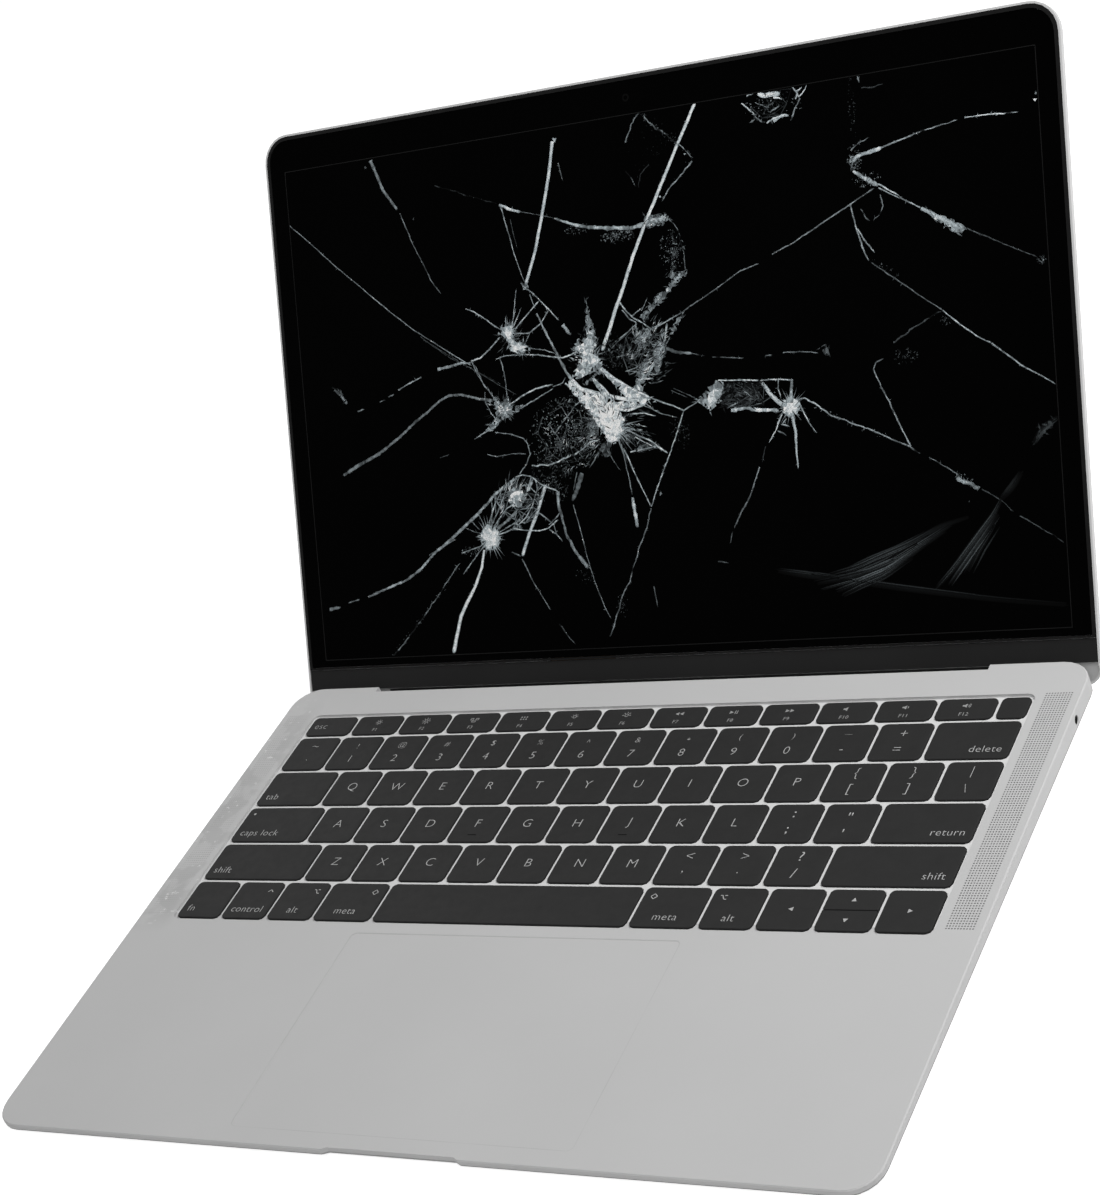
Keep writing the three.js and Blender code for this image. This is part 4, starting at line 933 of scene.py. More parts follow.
    def splinters(self, count, x, s, rx, rs, centre, length, shade, stray, width=0.35,
                  lift=SLIVER_LIFT):
        """Splinters in an ellipse that mostly point away from an impact, in drifts."""
        for px, ps in in_ellipse(count, x, s, rx, rs, SPLINTER_POWER):
            drift = DRIFT_LEVEL
            for strength, frequency, layer in DRIFT_WAVES:
                drift += strength * noise.noise(Vector((px * frequency, ps * frequency, layer)))
            if drift > LEAST_DRIFT:
                angle = math.atan2(ps - centre[1], px - centre[0]) + rng.gauss(0, stray)
                self.sliver(px, ps, angle, length * rng.uniform(*SPLINTER_LENGTHS) ** LENGTH_POWER,
                            width * rng.uniform(*SPLINTER_WIDTHS),
                            shade * drift * rng.uniform(*SPLINTER_SHADES), SPLINTER_ROOT, lift)

    def patch(self, shade, mottle, outline):
        """A crushed area with a ragged edge: small crisp facets, each lighter or darker than shade."""
        ragged = []
        for (ax, as_), (bx, bs) in zip(outline, outline[1:] + outline[:1]):
            length = math.dist((ax, as_), (bx, bs))
            pieces = max(int(length / RAGGED_STEP), 1)
            for k in range(pieces):
                t = k / pieces
                push = rng.gauss(0, RAGGED_PUSH) if k else 0.0
                ragged.append((ax + (bx - ax) * t - (bs - as_) / length * push,
                               as_ + (bs - as_) * t + (bx - ax) / length * push))
        self.facets(ragged, shade, mottle)
        for (ax, as_), (bx, bs) in zip(ragged, ragged[1:]):
            if rng.random() < FRINGE_CHANCE:
                along = math.atan2(bs - as_, bx - ax)
                back = math.pi if rng.random() < 0.5 else 0
                self.sliver(ax, as_, along + rng.uniform(*FRINGE_TURN) + back, rng.uniform(*FRINGE_LENGTHS),
                            rng.uniform(*FRINGE_WIDTHS), shade * rng.uniform(*FRINGE_SHADES))

    def facets(self, outline, shade, mottle):
        """Fills an outline with facets between random spots, darker and partly lost at its rim."""
        xs, ss = [p[0] for p in outline], [p[1] for p in outline]
        area = (max(xs) - min(xs)) * (max(ss) - min(ss))
        inner = [(rng.uniform(min(xs), max(xs)), rng.uniform(min(ss), max(ss)))
                 for _ in range(int(area / FACET / FACET))]
        count = len(outline)
        lift = BRIGHT_LIFT if shade > BRIGHT else 0.0
        spots, _, faces, sources, _, _ = delaunay_2d_cdt(
            [Vector(p) for p in outline + inner], [], [list(range(count))], 1, MERGE_GAP)
        for f in faces:
            x, s = (sum(spots[i][k] for i in f) / len(f) for k in (0, 1))
            rim = any(i < count for j in f for i in sources[j])
            if rim and rng.random() < RIM_LOSS:
                continue
            wave = noise.noise(Vector((x * CLOUD_FREQUENCY, s * CLOUD_FREQUENCY, CLOUD_LAYER)))
            level = shade * (1 + mottle * CLOUD_STRENGTH * wave)
            level *= rng.uniform(1 - mottle, 1 + mottle * FACET_GAIN)
            level *= RIM_SHADE if rim else 1.0
            self.face([self.point(*spots[i], lift + rng.uniform(0.0, FACET_LIFT), level) for i in f])

    def web(self, count, x, s, rx, rs, level, width, reach):
        """Fine cracks, no longer than reach, between scattered spots in an ellipse."""
        knots = [Vector(p) for p in in_ellipse(count, x, s, rx, rs)]
        result = delaunay_2d_cdt(knots, [], [], 0, WEB_GAP)
        for a, b in result[1]:
            (ax, as_), (bx, bs) = result[0][a], result[0][b]
            shade = level * rng.uniform(*WEB_SHADES)
            if shade > LEAST_WEB and math.dist((ax, as_), (bx, bs)) < reach:
                w = width * rng.uniform(*WEB_WIDTHS)
                self.strip([(ax, as_, w, shade), (bx, bs, w, shade * rng.uniform(*WEB_FADE))])

    def rays(self, x, s, inner, outer, count, shade, width, start=0.0, end=360.0):
        """Slivers thrown out from an impact, bright at the root and fading to a point."""
        for k in range(count):
            a = math.radians(start + (end - start) * (k + rng.uniform(*RAY_JITTER)) / count)
            r = outer * rng.uniform(*RAY_REACH)
            line = [(inner / 2, width, shade), (inner, width * RAY_SHOULDER, shade),
                    ((inner + r) / 2, width * RAY_WAIST, shade * RAY_FADE), (r, RAY_TIP, shade * TIP_SHADE)]
            self.strip([(x + d * math.cos(a), s + d * math.sin(a), w, b) for d, w, b in line])


# Long cracks: width at the start and end, shade, points, and where they are not usual, wander and the share
# that fades
CRACKS = [
    # upper left
    (1.2, 1.1, 0.88, [(122.3, 170.5), (120, 160), (116.3, 148), (112, 135), (107.3, 124.5)], 0.06),
    (1.3, 0.9, 0.55, [(46.7, 174.3), (49, 168.5), (51, 163.5), (53.5, 160), (56.3, 156)]),
    (0.6, 0.7, 0.38, [(57.5, 154.5), (61, 145.5), (65, 137), (68, 130.5), (72, 125.2)], 0.15, 0.05),
    (0.6, 0.55, 0.46, [(8.7, 156.2), (15, 150.8), (26.5, 140.5), (39.7, 129.6), (50, 121), (60, 113.5),
      (70, 107.2), (80, 100.8), (82.5, 99.5)], 0.08),
    (0.4, 0.4, 0.27, [(62, 111.5), (72, 104.5), (82, 98.8), (92, 92.5), (100, 88)], 0.1, 0.1),
    (0.4, 0.4, 0.24, [(63, 110.3), (74, 102.8), (85, 97), (94, 92)], 0.1, 0.1),
    (0.6, 0.5, 0.17, [(73, 162), (86, 157.5), (98, 153)], 0.3, 0.5),
    (1.1, 0.9, 0.75, [(99, 152.3), (103, 150.5), (107.5, 149)], 0.15),
    (0.4, 0.4, 0.38, [(107.5, 149), (114, 147.2), (121, 145)], 0.1, 0.1),
    (0.7, 1.4, 0.66, [(121, 145), (128, 142.3), (134, 140.5), (142, 139.3), (150, 138.2)], 0.15),
    (0.7, 0.5, 0.58, [(99.5, 152), (102.3, 141), (104.5, 132), (107, 125)], 0.12, 0.05),
    (0.5, 0.3, 0.25, [(103, 147), (105, 137)], 0.15, 0.3),
    (0.7, 0.5, 0.4, [(124, 163), (125.3, 157)]),
    (1.1, 0.7, 0.62, [(68, 99.6), (73, 100.1), (78, 100.8), (82.5, 100.7)], 0.15),
    (0.9, 0.9, 0.66, [(82.5, 101), (86, 101.6), (90, 104), (95, 108)]),
    (0.6, 0.9, 0.58, [(82, 119), (85, 117.8), (88, 116), (92, 112.8), (95.5, 110.5)], 0.12),
    (0.8, 0.9, 0.52, [(82.5, 101), (85, 95.5), (88, 91)], 0.15),
    (0.8, 0.6, 0.48, [(94.5, 101), (95.6, 96), (96.1, 90), (96, 86)], 0.15, 0.05),
    (0.8, 1.3, 0.48, [(22.5, 96.5), (25, 94.3), (27.5, 91)], 0.15),
    (0.6, 0.6, 0.32, [(42, 90.5), (44.5, 91)]),
    (0.8, 0.8, 0.42, [(46, 92), (48.5, 92.7)]),
    (1, 0.6, 0.52, [(50.5, 94), (56, 96), (61, 97.5)], 0.12),
    # lower left
    (1.1, 0.7, 0.48, [(23.5, 66), (26, 67), (31, 69.3), (40, 72.5), (49, 77.3), (57, 82.5), (62, 85),
      (68, 88.8), (72, 90.2), (77, 90), (84, 88), (90, 86.5)]),
    (0.6, 0.5, 0.25, [(66, 69), (70, 70)]),
    (0.8, 0.8, 0.4, [(32, 88), (35, 88.6)]),
    (1.2, 0.9, 0.5, [(12, 18.5), (17, 19.1)]),
    (0.9, 0.7, 0.42, [(21, 20.5), (26, 21.5)]),
    (0.8, 1.1, 0.62, [(30, 22.2), (39, 24.8), (48, 27.5), (54, 31), (61, 36.5), (69, 41), (77, 46.5),
      (84, 51.5), (88, 55), (92, 57), (97, 60)]),
    (0.6, 0.5, 0.42, [(58, 35.5), (64, 38), (70, 40.5)]),
    (0.9, 1.5, 0.97, [(81.5, 36), (80, 30), (76.5, 23.5), (72.5, 18), (69.5, 13.5), (67, 6.5),
      (65, 0.8)], 0.06),
    (0.9, 0.6, 0.44, [(39, 0.8), (44, 5), (50, 11), (56, 16.5), (60, 20.5), (66, 27), (71, 32)], 0.2, 0.4),
    (0.6, 0.8, 0.5, [(72, 35.6), (76, 36.3), (80, 37.5)], 0.2, 0.1),
    (0.7, 0.8, 0.48, [(72, 28), (76, 32), (80, 36)], 0.15),
    (0.5, 0.6, 0.42, [(74.5, 44), (78, 42.5), (80, 42)]),
    (0.5, 0.6, 0.45, [(77, 46.5), (79, 44.5), (80.5, 43)]),
    (0.5, 0.6, 0.45, [(80, 49), (81.5, 46.5), (82.5, 44)]),
    (0.8, 0.5, 0.44, [(97, 32), (100, 25.5), (104, 19), (107, 14)]),
    (0.9, 0.5, 0.36, [(110, 9), (114, 4), (116, 2)], 0.15, 0.25),
    (0.6, 0.5, 0.44, [(119.5, 49), (121, 43), (123, 33), (126, 22), (129, 14), (131, 10)], 0.08),
    (0.8, 1.4, 0.52, [(114.5, 45), (116, 39), (119.5, 32.5), (123.5, 27.5)], 0.15),
    (0.7, 0.8, 0.44, [(150, 46), (147, 38), (143.5, 31), (140, 23), (135.5, 15), (132.5, 9),
      (130, 4)], 0.25, 0.12),
    (0.8, 0.5, 0.36, [(148.7, 20), (149.7, 13)]),
    # the star and its ribs
    (0.9, 0.5, 0.62, [(84.5, 45), (88, 52), (91.5, 57)]),
    (0.9, 0.5, 0.55, [(86, 45), (90, 51), (93.5, 57.8)]),
    (0.8, 0.5, 0.55, [(85.2, 45), (86.3, 50), (86.2, 54.5)]),
    (0.9, 0.9, 0.6, [(86.5, 44), (92, 49.5), (95, 51)]),
    (1.1, 0.9, 0.62, [(88, 43), (96, 48), (101, 54), (104, 59)]),
    (0.8, 0.7, 0.55, [(88, 41.5), (93, 43.5), (97.5, 45), (100, 48)]),
    (0.8, 0.8, 0.62, [(88, 40.8), (95, 42.6), (101, 41.5), (105, 41.2), (109, 42), (113, 44.5)]),
    (0.8, 0.9, 0.6, [(97, 60), (100, 60.6), (103, 60), (107, 57), (109, 56), (113, 54.5), (114.5, 53)]),
    (0.6, 0.5, 0.5, [(88, 56), (87.5, 48)]),
    (0.6, 0.5, 0.5, [(90, 57), (90.4, 50)]),
    (0.9, 0.6, 0.6, [(103.5, 60), (101.5, 56), (100, 52)]),
    (0.9, 0.8, 0.6, [(105, 59), (105.5, 55.5), (103, 50), (100, 46), (96, 43.5)]),
    (1.35, 1.1, 0.88, [(109, 56.5), (105, 48), (101, 41), (97.2, 33)], 0.06),
    (0.7, 0.8, 0.5, [(93, 34.5), (96.5, 33)]),
    (1.2, 1.1, 0.56, [(113.7, 54), (113.5, 49), (114.8, 44.5)], 0.15),
    (0.8, 0.7, 0.52, [(105, 47.5), (108, 45.5), (111, 43), (112, 39)]),
    (0.7, 0.7, 0.5, [(109, 43), (112, 45), (114, 47)]),
    (0.7, 0.7, 0.45, [(109, 41.3), (112, 39.5), (114, 37)], 0.15),
    (1.8, 1.2, 0.42, [(124, 59.5), (121.5, 54), (119.3, 50.5)]),
    (0.6, 0.6, 0.42, [(122, 60), (120, 54)]),
    # left impact and the arcs round it
    (0.5, 0.3, 0.62, [(100, 111), (102.5, 117)], 0.05),
    (0.5, 0.3, 0.62, [(101, 111), (104.7, 117)], 0.05),
    (0.5, 0.3, 0.55, [(100.5, 110.5), (103.4, 114.8)], 0.05),
    (0.7, 0.4, 0.55, [(98, 111.5), (98, 114.8)], 0.05),
    (0.8, 0.8, 0.64, [(101.5, 110), (106, 113.8), (112, 118.5)], 0.08),
    (0.7, 0.8, 0.6, [(102, 108.5), (107, 108.2), (112, 110.8), (115.7, 115)], 0.08),
    (0.6, 0.5, 0.52, [(105, 104.5), (107.6, 108.5)], 0.08),
    (0.6, 0.5, 0.5, [(100.6, 111.5), (101.8, 117), (103.3, 123.5)]),
    (0.5, 0.5, 0.45, [(107, 103), (113, 101.8), (117, 100.2)]),
    (0.6, 0.9, 0.68, [(93, 100.8), (97, 101.5), (104, 101.2), (110, 100.5), (117, 99), (120, 98.6),
      (124, 99.6), (126.5, 100.5)]),
    (0.7, 0.7, 0.62, [(107, 123.5), (110, 121), (115.5, 115.5), (119.5, 111.3)]),
    (1.3, 1.1, 0.64, [(120.7, 109.5), (123.8, 106)], 0.15),
    (0.7, 0.5, 0.5, [(108.5, 121), (110.3, 116)]),
    (0.6, 1.2, 0.62, [(110.7, 114.5), (114, 107), (118, 99.5), (120.5, 94), (123, 90.5)]),
    (0.6, 0.6, 0.55, [(117, 100), (119.5, 96), (122, 92.5)]),
    # lower impact on the left
    (0.5, 0.7, 0.5, [(84, 99), (86.5, 93), (88.3, 90.5)], 0.15),
    (0.6, 0.7, 0.52, [(87, 90), (86.8, 86.5), (89, 82.5), (91.5, 79.5)], 0.15),
    (0.8, 0.9, 0.55, [(88.5, 91), (91, 87), (93, 84)], 0.15),
    (0.7, 0.7, 0.5, [(84, 88), (90, 87)], 0.15),
    (0.9, 0.9, 0.66, [(96.5, 84.8), (102, 87.3), (108, 89.3), (115, 90)], 0.12),
    (0.7, 0.6, 0.56, [(102, 83.5), (108, 86), (115, 88.8)], 0.15, 0.05),
    (0.6, 0.7, 0.52, [(115, 89.3), (119, 90.3), (120.3, 92)], 0.12),
    (0.9, 0.5, 0.6, [(90, 78), (87, 76.8), (84, 75.5), (81, 74.3)], 0.15),
    (0.6, 0.8, 0.52, [(90, 76), (97, 74.6), (101.5, 73), (103, 71), (103.6, 67)]),
    (0.6, 0.6, 0.44, [(86, 68.7), (90, 67.6), (96, 68), (102, 67.6)], 0.1, 0.05),
    (0.8, 0.8, 0.52, [(104, 68), (101.5, 64), (98.5, 60.8)], 0.15),
    # the shattered middle
    (0.9, 1, 0.72, [(104, 63.6), (108, 63.4), (112, 63.6), (118, 65), (123, 66.8), (128, 69.5),
      (132, 70.3)], 0.3, 0.2),
    (0.5, 0.7, 0.48, [(115, 74), (119, 78), (123, 82), (126, 84)], 0.2, 0.1),
    (0.6, 0.6, 0.42, [(112, 77), (115, 73), (117, 70)], 0.2, 0.1),
    (0.8, 0.5, 0.4, [(131, 65.5), (127, 61)], 0.15),
    (0.6, 0.3, 0.42, [(134.5, 66.5), (137, 62.5), (139.3, 59.3)]),
    (0.7, 0.6, 0.42, [(140.3, 68), (141.3, 63), (142.3, 57), (143, 51)], 0.12),
    (1, 1.5, 0.74, [(143, 50), (143.5, 45), (144.3, 40)]),
    (1, 0.7, 0.62, [(141, 66.5), (143, 62.5), (144.4, 58.5), (146, 55), (148, 51), (150, 46.5)], 0.12),
    (0.7, 0.8, 0.58, [(150, 46.5), (153, 52.5), (157, 60), (160, 66), (163, 72), (165.3, 77)], 0.15),
    (0.8, 0.8, 0.55, [(165.3, 77), (161, 79), (153, 82.3)]),
    (0.8, 0.8, 0.52, [(165.3, 77), (171, 79.6)]),
    (0.4, 0.4, 0.35, [(162, 84.6), (168, 81.8), (171, 80)], 0.1, 0.1),
    (0.4, 0.4, 0.28, [(161, 84), (167, 81.2)], 0.1, 0.1),
    (1, 0.8, 0.68, [(142, 73), (146, 71), (152, 68), (158, 63.6)], 0.12),
    (0.7, 0.6, 0.6, [(146, 70), (150, 67.5), (154, 65.5)], 0.12),
    (0.9, 0.7, 0.55, [(143, 73.5), (146, 72.3), (149, 72)], 0.12),
    (0.9, 0.8, 0.68, [(143.5, 65), (148, 65.5), (154, 66.3), (157, 64.5)], 0.12),
    (0.6, 0.5, 0.52, [(146.5, 67.5), (149, 70.5)], 0.12),
    (0.9, 0.7, 0.66, [(144, 77.6), (150, 77.5), (154.5, 76.2)]),
    (0.6, 0.5, 0.5, [(150, 80), (156, 77), (162.5, 75)], 0.15, 0.1),
    (0.6, 0.5, 0.5, [(151, 80.5), (154, 78.2), (156, 77.5)], 0.15, 0.1),
    (0.6, 0.6, 0.42, [(132.8, 108), (133.3, 100)]),
    (1.5, 0.9, 0.97, [(134.5, 93.6), (139, 90), (145, 86.3), (152.6, 82.4)], 0.05),
    (1.2, 0.8, 0.95, [(131.3, 90.3), (135, 86.8), (138.3, 83)], 0.05),
    (1.6, 1, 0.97, [(122.5, 91), (126, 87.5), (131, 86), (138, 84), (146, 82), (153, 82)], 0.05),
    (1.2, 0.8, 0.92, [(138, 80), (144, 79), (151, 80.5)], 0.05),
    (1, 0.6, 0.85, [(120, 90), (124, 87), (128, 82), (131, 77)], 0.05),
    # the right half of the middle
    (0.9, 0.7, 0.62, [(143.8, 114.5), (146, 111.5), (148.5, 109), (152, 107), (156, 104)], 0.15),
    (0.6, 0.4, 0.45, [(152, 111), (154.6, 115)]),
    (0.6, 0.6, 0.48, [(148.5, 109.8), (153, 112.2)]),
    (0.8, 0.6, 0.5, [(144.5, 112), (147, 109), (149.5, 107.5), (149.5, 103.5)], 0.2),
    (0.6, 0.7, 0.45, [(135, 101), (140, 101.6), (144, 103.3), (150, 107)], 0.15, 0.1),
    (0.5, 0.5, 0.38, [(140, 100.5), (146, 104)], 0.2, 0.2),
    (0.6, 0.5, 0.42, [(141, 96.8), (146, 97.3), (151, 97)], 0.2, 0.1),
    (0.5, 0.7, 0.5, [(144, 91.7), (148, 92.6), (151, 94)]),
    (0.6, 0.6, 0.5, [(144.5, 92), (150, 90.8)]),
    (1.1, 0.8, 0.62, [(150, 88), (153, 90.5), (157, 95.5), (160, 100.5), (161.3, 106)], 0.15),
    (0.8, 0.7, 0.52, [(156, 91), (158.5, 95), (160.5, 99.3), (162, 101.5)], 0.2),
    (0.6, 0.5, 0.48, [(155, 104.5), (154, 101), (156, 98.5), (157.5, 95)], 0.2, 0.05),
    (0.6, 0.7, 0.48, [(155.5, 104.3), (162, 106.8), (168, 109.3)], 0.08),
    (0.7, 0.6, 0.4, [(168, 109.3), (180, 114.8), (190, 119.8), (197, 121.3)], 0.08),
    (0.7, 0.7, 0.44, [(202, 123.7), (210, 126.5), (220, 131), (231, 136), (239.5, 139.8)], 0.08),
    (1.1, 0.9, 0.54, [(160.3, 97.8), (164, 96.2), (170, 95.2)]),
    (0.5, 0.5, 0.36, [(170, 95.2), (174.5, 94.1)], 0.1, 0.1),
    (0.6, 0.6, 0.38, [(177.5, 93.2), (182, 92.8), (189, 92)], 0.1, 0.25),
    (0.6, 0.6, 0.38, [(197, 92), (199.5, 91.9)]),
    (0.6, 0.6, 0.42, [(203.5, 92.2), (210, 92), (216, 91)], 0.1, 0.05),
    # the long pair from the top and the loop beside it
    (1.06, 1.3, 0.95, [(177.8, 175), (170, 162.5), (161, 147.5), (155.8, 139), (150, 128.5), (146, 120),
      (142, 112.5), (139, 106), (135.5, 99.5)], 0.05),
    (1, 0.7, 0.42, [(150.2, 166.5), (152.5, 170), (155, 174), (157, 175)], 0.4, 0.2),
    (0.7, 1, 0.5, [(158.5, 174), (162, 170), (165, 168), (168, 165), (170, 163)], 0.4, 0.2),
    (0.6, 0.6, 0.42, [(170.5, 163), (173.5, 160), (175.7, 157.8)], 0.3, 0.1),
    (0.9, 0.6, 0.5, [(175.3, 156.8), (170, 152.5), (166, 149), (163, 145.5)], 0.2, 0.05),
    (0.7, 0.5, 0.26, [(150, 157), (152, 154), (153.3, 151.5)], 0.2, 0.1),
    (0.6, 0.5, 0.2, [(159, 158), (156, 155), (154.5, 151)], 0.3, 0.2),
    (1.3, 1.3, 0.72, [(150, 138.4), (156, 138.8), (161, 140), (164.7, 139.3)], 0.25, 0.05),
    (0.6, 0.6, 0.38, [(164.7, 139.3), (167.5, 136), (169, 131), (169.5, 125), (169.8, 122)], 0.4, 0.2),
    # right edge group
    (0.9, 0.9, 0.48, [(236.5, 175), (236.9, 172.8)]),
    (0.7, 0.5, 0.22, [(237.5, 171), (241, 170.8), (245, 171.2)], 0.2, 0.2),
    (0.8, 0.7, 0.44, [(232.5, 152.6), (236, 154.8), (238.7, 155.6)], 0.2, 0.1),
    (1.2, 1.1, 0.78, [(232.7, 149), (234, 150.2), (237, 151), (243, 152)], 0.15),
    (0.9, 0.5, 0.52, [(243, 152), (250, 153.5), (257, 155), (269, 156.7)], 0.15, 0.1),
    (0.55, 0.8, 0.86, [(271.5, 157), (280, 156.9), (285, 156.4)], 0.12),
    (0.6, 0.3, 0.7, [(285, 156.4), (289, 156.2)], 0.12, 0.1),
    (1, 1.5, 0.76, [(232.7, 146), (236, 143.5), (241, 140.5)], 0.15),
    (0.9, 0.8, 0.68, [(241, 141), (248, 136.3)]),
    (0.7, 0.6, 0.6, [(241, 139.8), (248, 135.5)]),
    (0.7, 0.8, 0.6, [(248, 136), (255, 131.6)]),
    (1.1, 2, 0.8, [(255, 131.6), (260, 128.6), (265, 125.8), (269, 123.8)], 0.15),
    (0.6, 0.5, 0.28, [(270, 123.8), (280, 118.5), (287, 114.8), (292, 112.5)], 0.1, 0.1),
    (0.8, 0.9, 0.58, [(231, 136), (232, 129), (234, 122), (236, 117.8)], 0.15),
    (0.9, 0.8, 0.52, [(232.8, 128), (235.5, 124), (238.2, 120)], 0.2, 0.1),
    (0.5, 0.5, 0.42, [(233, 126), (235, 120.5)], 0.2, 0.1),
    (0.7, 0.6, 0.44, [(241.5, 137.5), (242.2, 134), (240.7, 131.5), (238.5, 130)], 0.2, 0.1),
    (0.7, 0.6, 0.32, [(234.3, 134), (236, 131), (237.3, 130)], 0.2, 0.1),
    (0.6, 0.6, 0.42, [(237, 117), (245, 111), (252, 105.5), (260, 99.8)], 0.08),
    (0.7, 0.75, 0.62, [(260, 99.8), (266, 94.5), (270.5, 91), (275.5, 88.2)]),
    (0.8, 0.7, 0.52, [(275.5, 88.2), (285, 80.5), (293, 75.5), (295.3, 73.9)]),
    (0.9, 0.7, 0.28, [(242.5, 92), (247, 94), (253, 97), (259.5, 99.5)], 0.3, 0.3),
    # lower right
    (0.9, 0.9, 0.55, [(207, 76.5), (210, 77.2), (213.5, 75), (217, 72.4), (220, 70.6),
      (223, 69.3)], 0.2, 0.1),
    (0.7, 0.9, 0.46, [(223, 69.3), (230, 66.3), (238, 62.5), (246, 58.8), (249, 56.5)], 0.2, 0.1),
    (0.5, 0.6, 0.4, [(252, 55), (258, 51.5), (262, 48.5)], 0.15, 0.15),
    (1.3, 0.9, 0.62, [(261, 48.2), (265, 46), (268.3, 44.4)], 0.3, 0.05),
    (0.6, 0.5, 0.22, [(269, 44), (275, 40.5), (279, 36.5)], 0.1, 0.2),
    (0.6, 0.5, 0.3, [(281, 35), (286, 32), (292, 28), (294.7, 26)], 0.15, 0.25),
    (0.8, 0.9, 0.48, [(246, 59), (243.5, 64), (241, 70), (238, 77), (235, 84)], 0.15, 0.05),
    (0.9, 0.7, 0.46, [(235, 84), (236, 86), (238.7, 87)], 0.15),
    (0.9, 0.9, 0.46, [(192, 56.5), (188.5, 49), (184, 42.5), (181, 37.5)], 0.15, 0.05),
    (0.7, 0.5, 0.3, [(180, 36), (179, 32.5)], 0.15, 0.2),
    (0.7, 0.4, 0.2, [(194.7, 63), (193, 58)], 0.15, 0.1),
    (0.8, 0.6, 0.27, [(174, 27), (178, 26.2)], 0.1, 0.1),
    # the second impact on the right
    (0.8, 0.7, 0.78, [(179, 85.6), (186, 85), (194, 84.2), (201, 84), (206, 83.4)]),
    (1.3, 1.1, 0.78, [(183, 75.6), (188, 76), (194, 75), (200.5, 74)], 0.15),
    (1.2, 1.5, 0.82, [(195, 83.5), (197.5, 80), (200, 77.3), (202.5, 75.5)], 0.15),
    (0.8, 0.7, 0.6, [(201, 84), (200.5, 81), (201.5, 78)], 0.15),
    (1, 1.3, 0.78, [(206, 83.4), (205.5, 79.5), (205, 76)]),
    (1.2, 0.4, 0.8, [(205, 73), (206, 67), (205.7, 60), (206, 55)], 0.06),
    (0.9, 0.5, 0.68, [(201.5, 73), (199, 68), (196, 64)]),
    (0.8, 0.4, 0.58, [(208.5, 74.5), (211, 69), (213.7, 65.8)]),
    (0.8, 0.6, 0.45, [(199.5, 67.5), (202.5, 65.8)], 0.15),
    (0.9, 0.7, 0.5, [(203, 71), (201, 69.5), (204, 68.6)], 0.15),
    # top edge bite
    (1.4, 1.6, 0.95, [(201, 174.6), (204, 173.4), (209, 173.6)], 0.2),
    (1, 0.7, 0.9, [(206.5, 172.6), (209.5, 171.6)], 0.2),
    (1.1, 0.8, 0.85, [(206, 165.2), (209, 166.3), (211.5, 166.2)], 0.2),
    (0.9, 0.9, 0.8, [(214.2, 171), (215, 173.4), (216.8, 174.4)], 0.2),
    (0.9, 0.8, 0.66, [(195, 172.5), (198, 169.6), (200, 168)], 0.2, 0.3),
    (1, 0.8, 0.62, [(197, 174.6), (199.5, 174.9)], 0.2),
    (0.7, 0.8, 0.52, [(198, 170), (200, 167), (203, 165.4)], 0.2, 0.4),
    (1, 0.9, 0.72, [(203.5, 165), (206, 166), (210, 166.6)], 0.2),
    (0.8, 0.7, 0.56, [(205, 168), (208.5, 169.6)], 0.2),
    (0.9, 0.9, 0.66, [(213.5, 174.8), (215.5, 171.5), (218, 173.5), (218.5, 174.8)], 0.2),
    (0.8, 0.8, 0.52, [(216, 171), (213.5, 167), (212, 164.6)], 0.2, 0.1),
    (0.5, 0.5, 0.36, [(200, 172), (204, 170), (207, 171.5), (210, 169)], 0.3, 0.2),
]

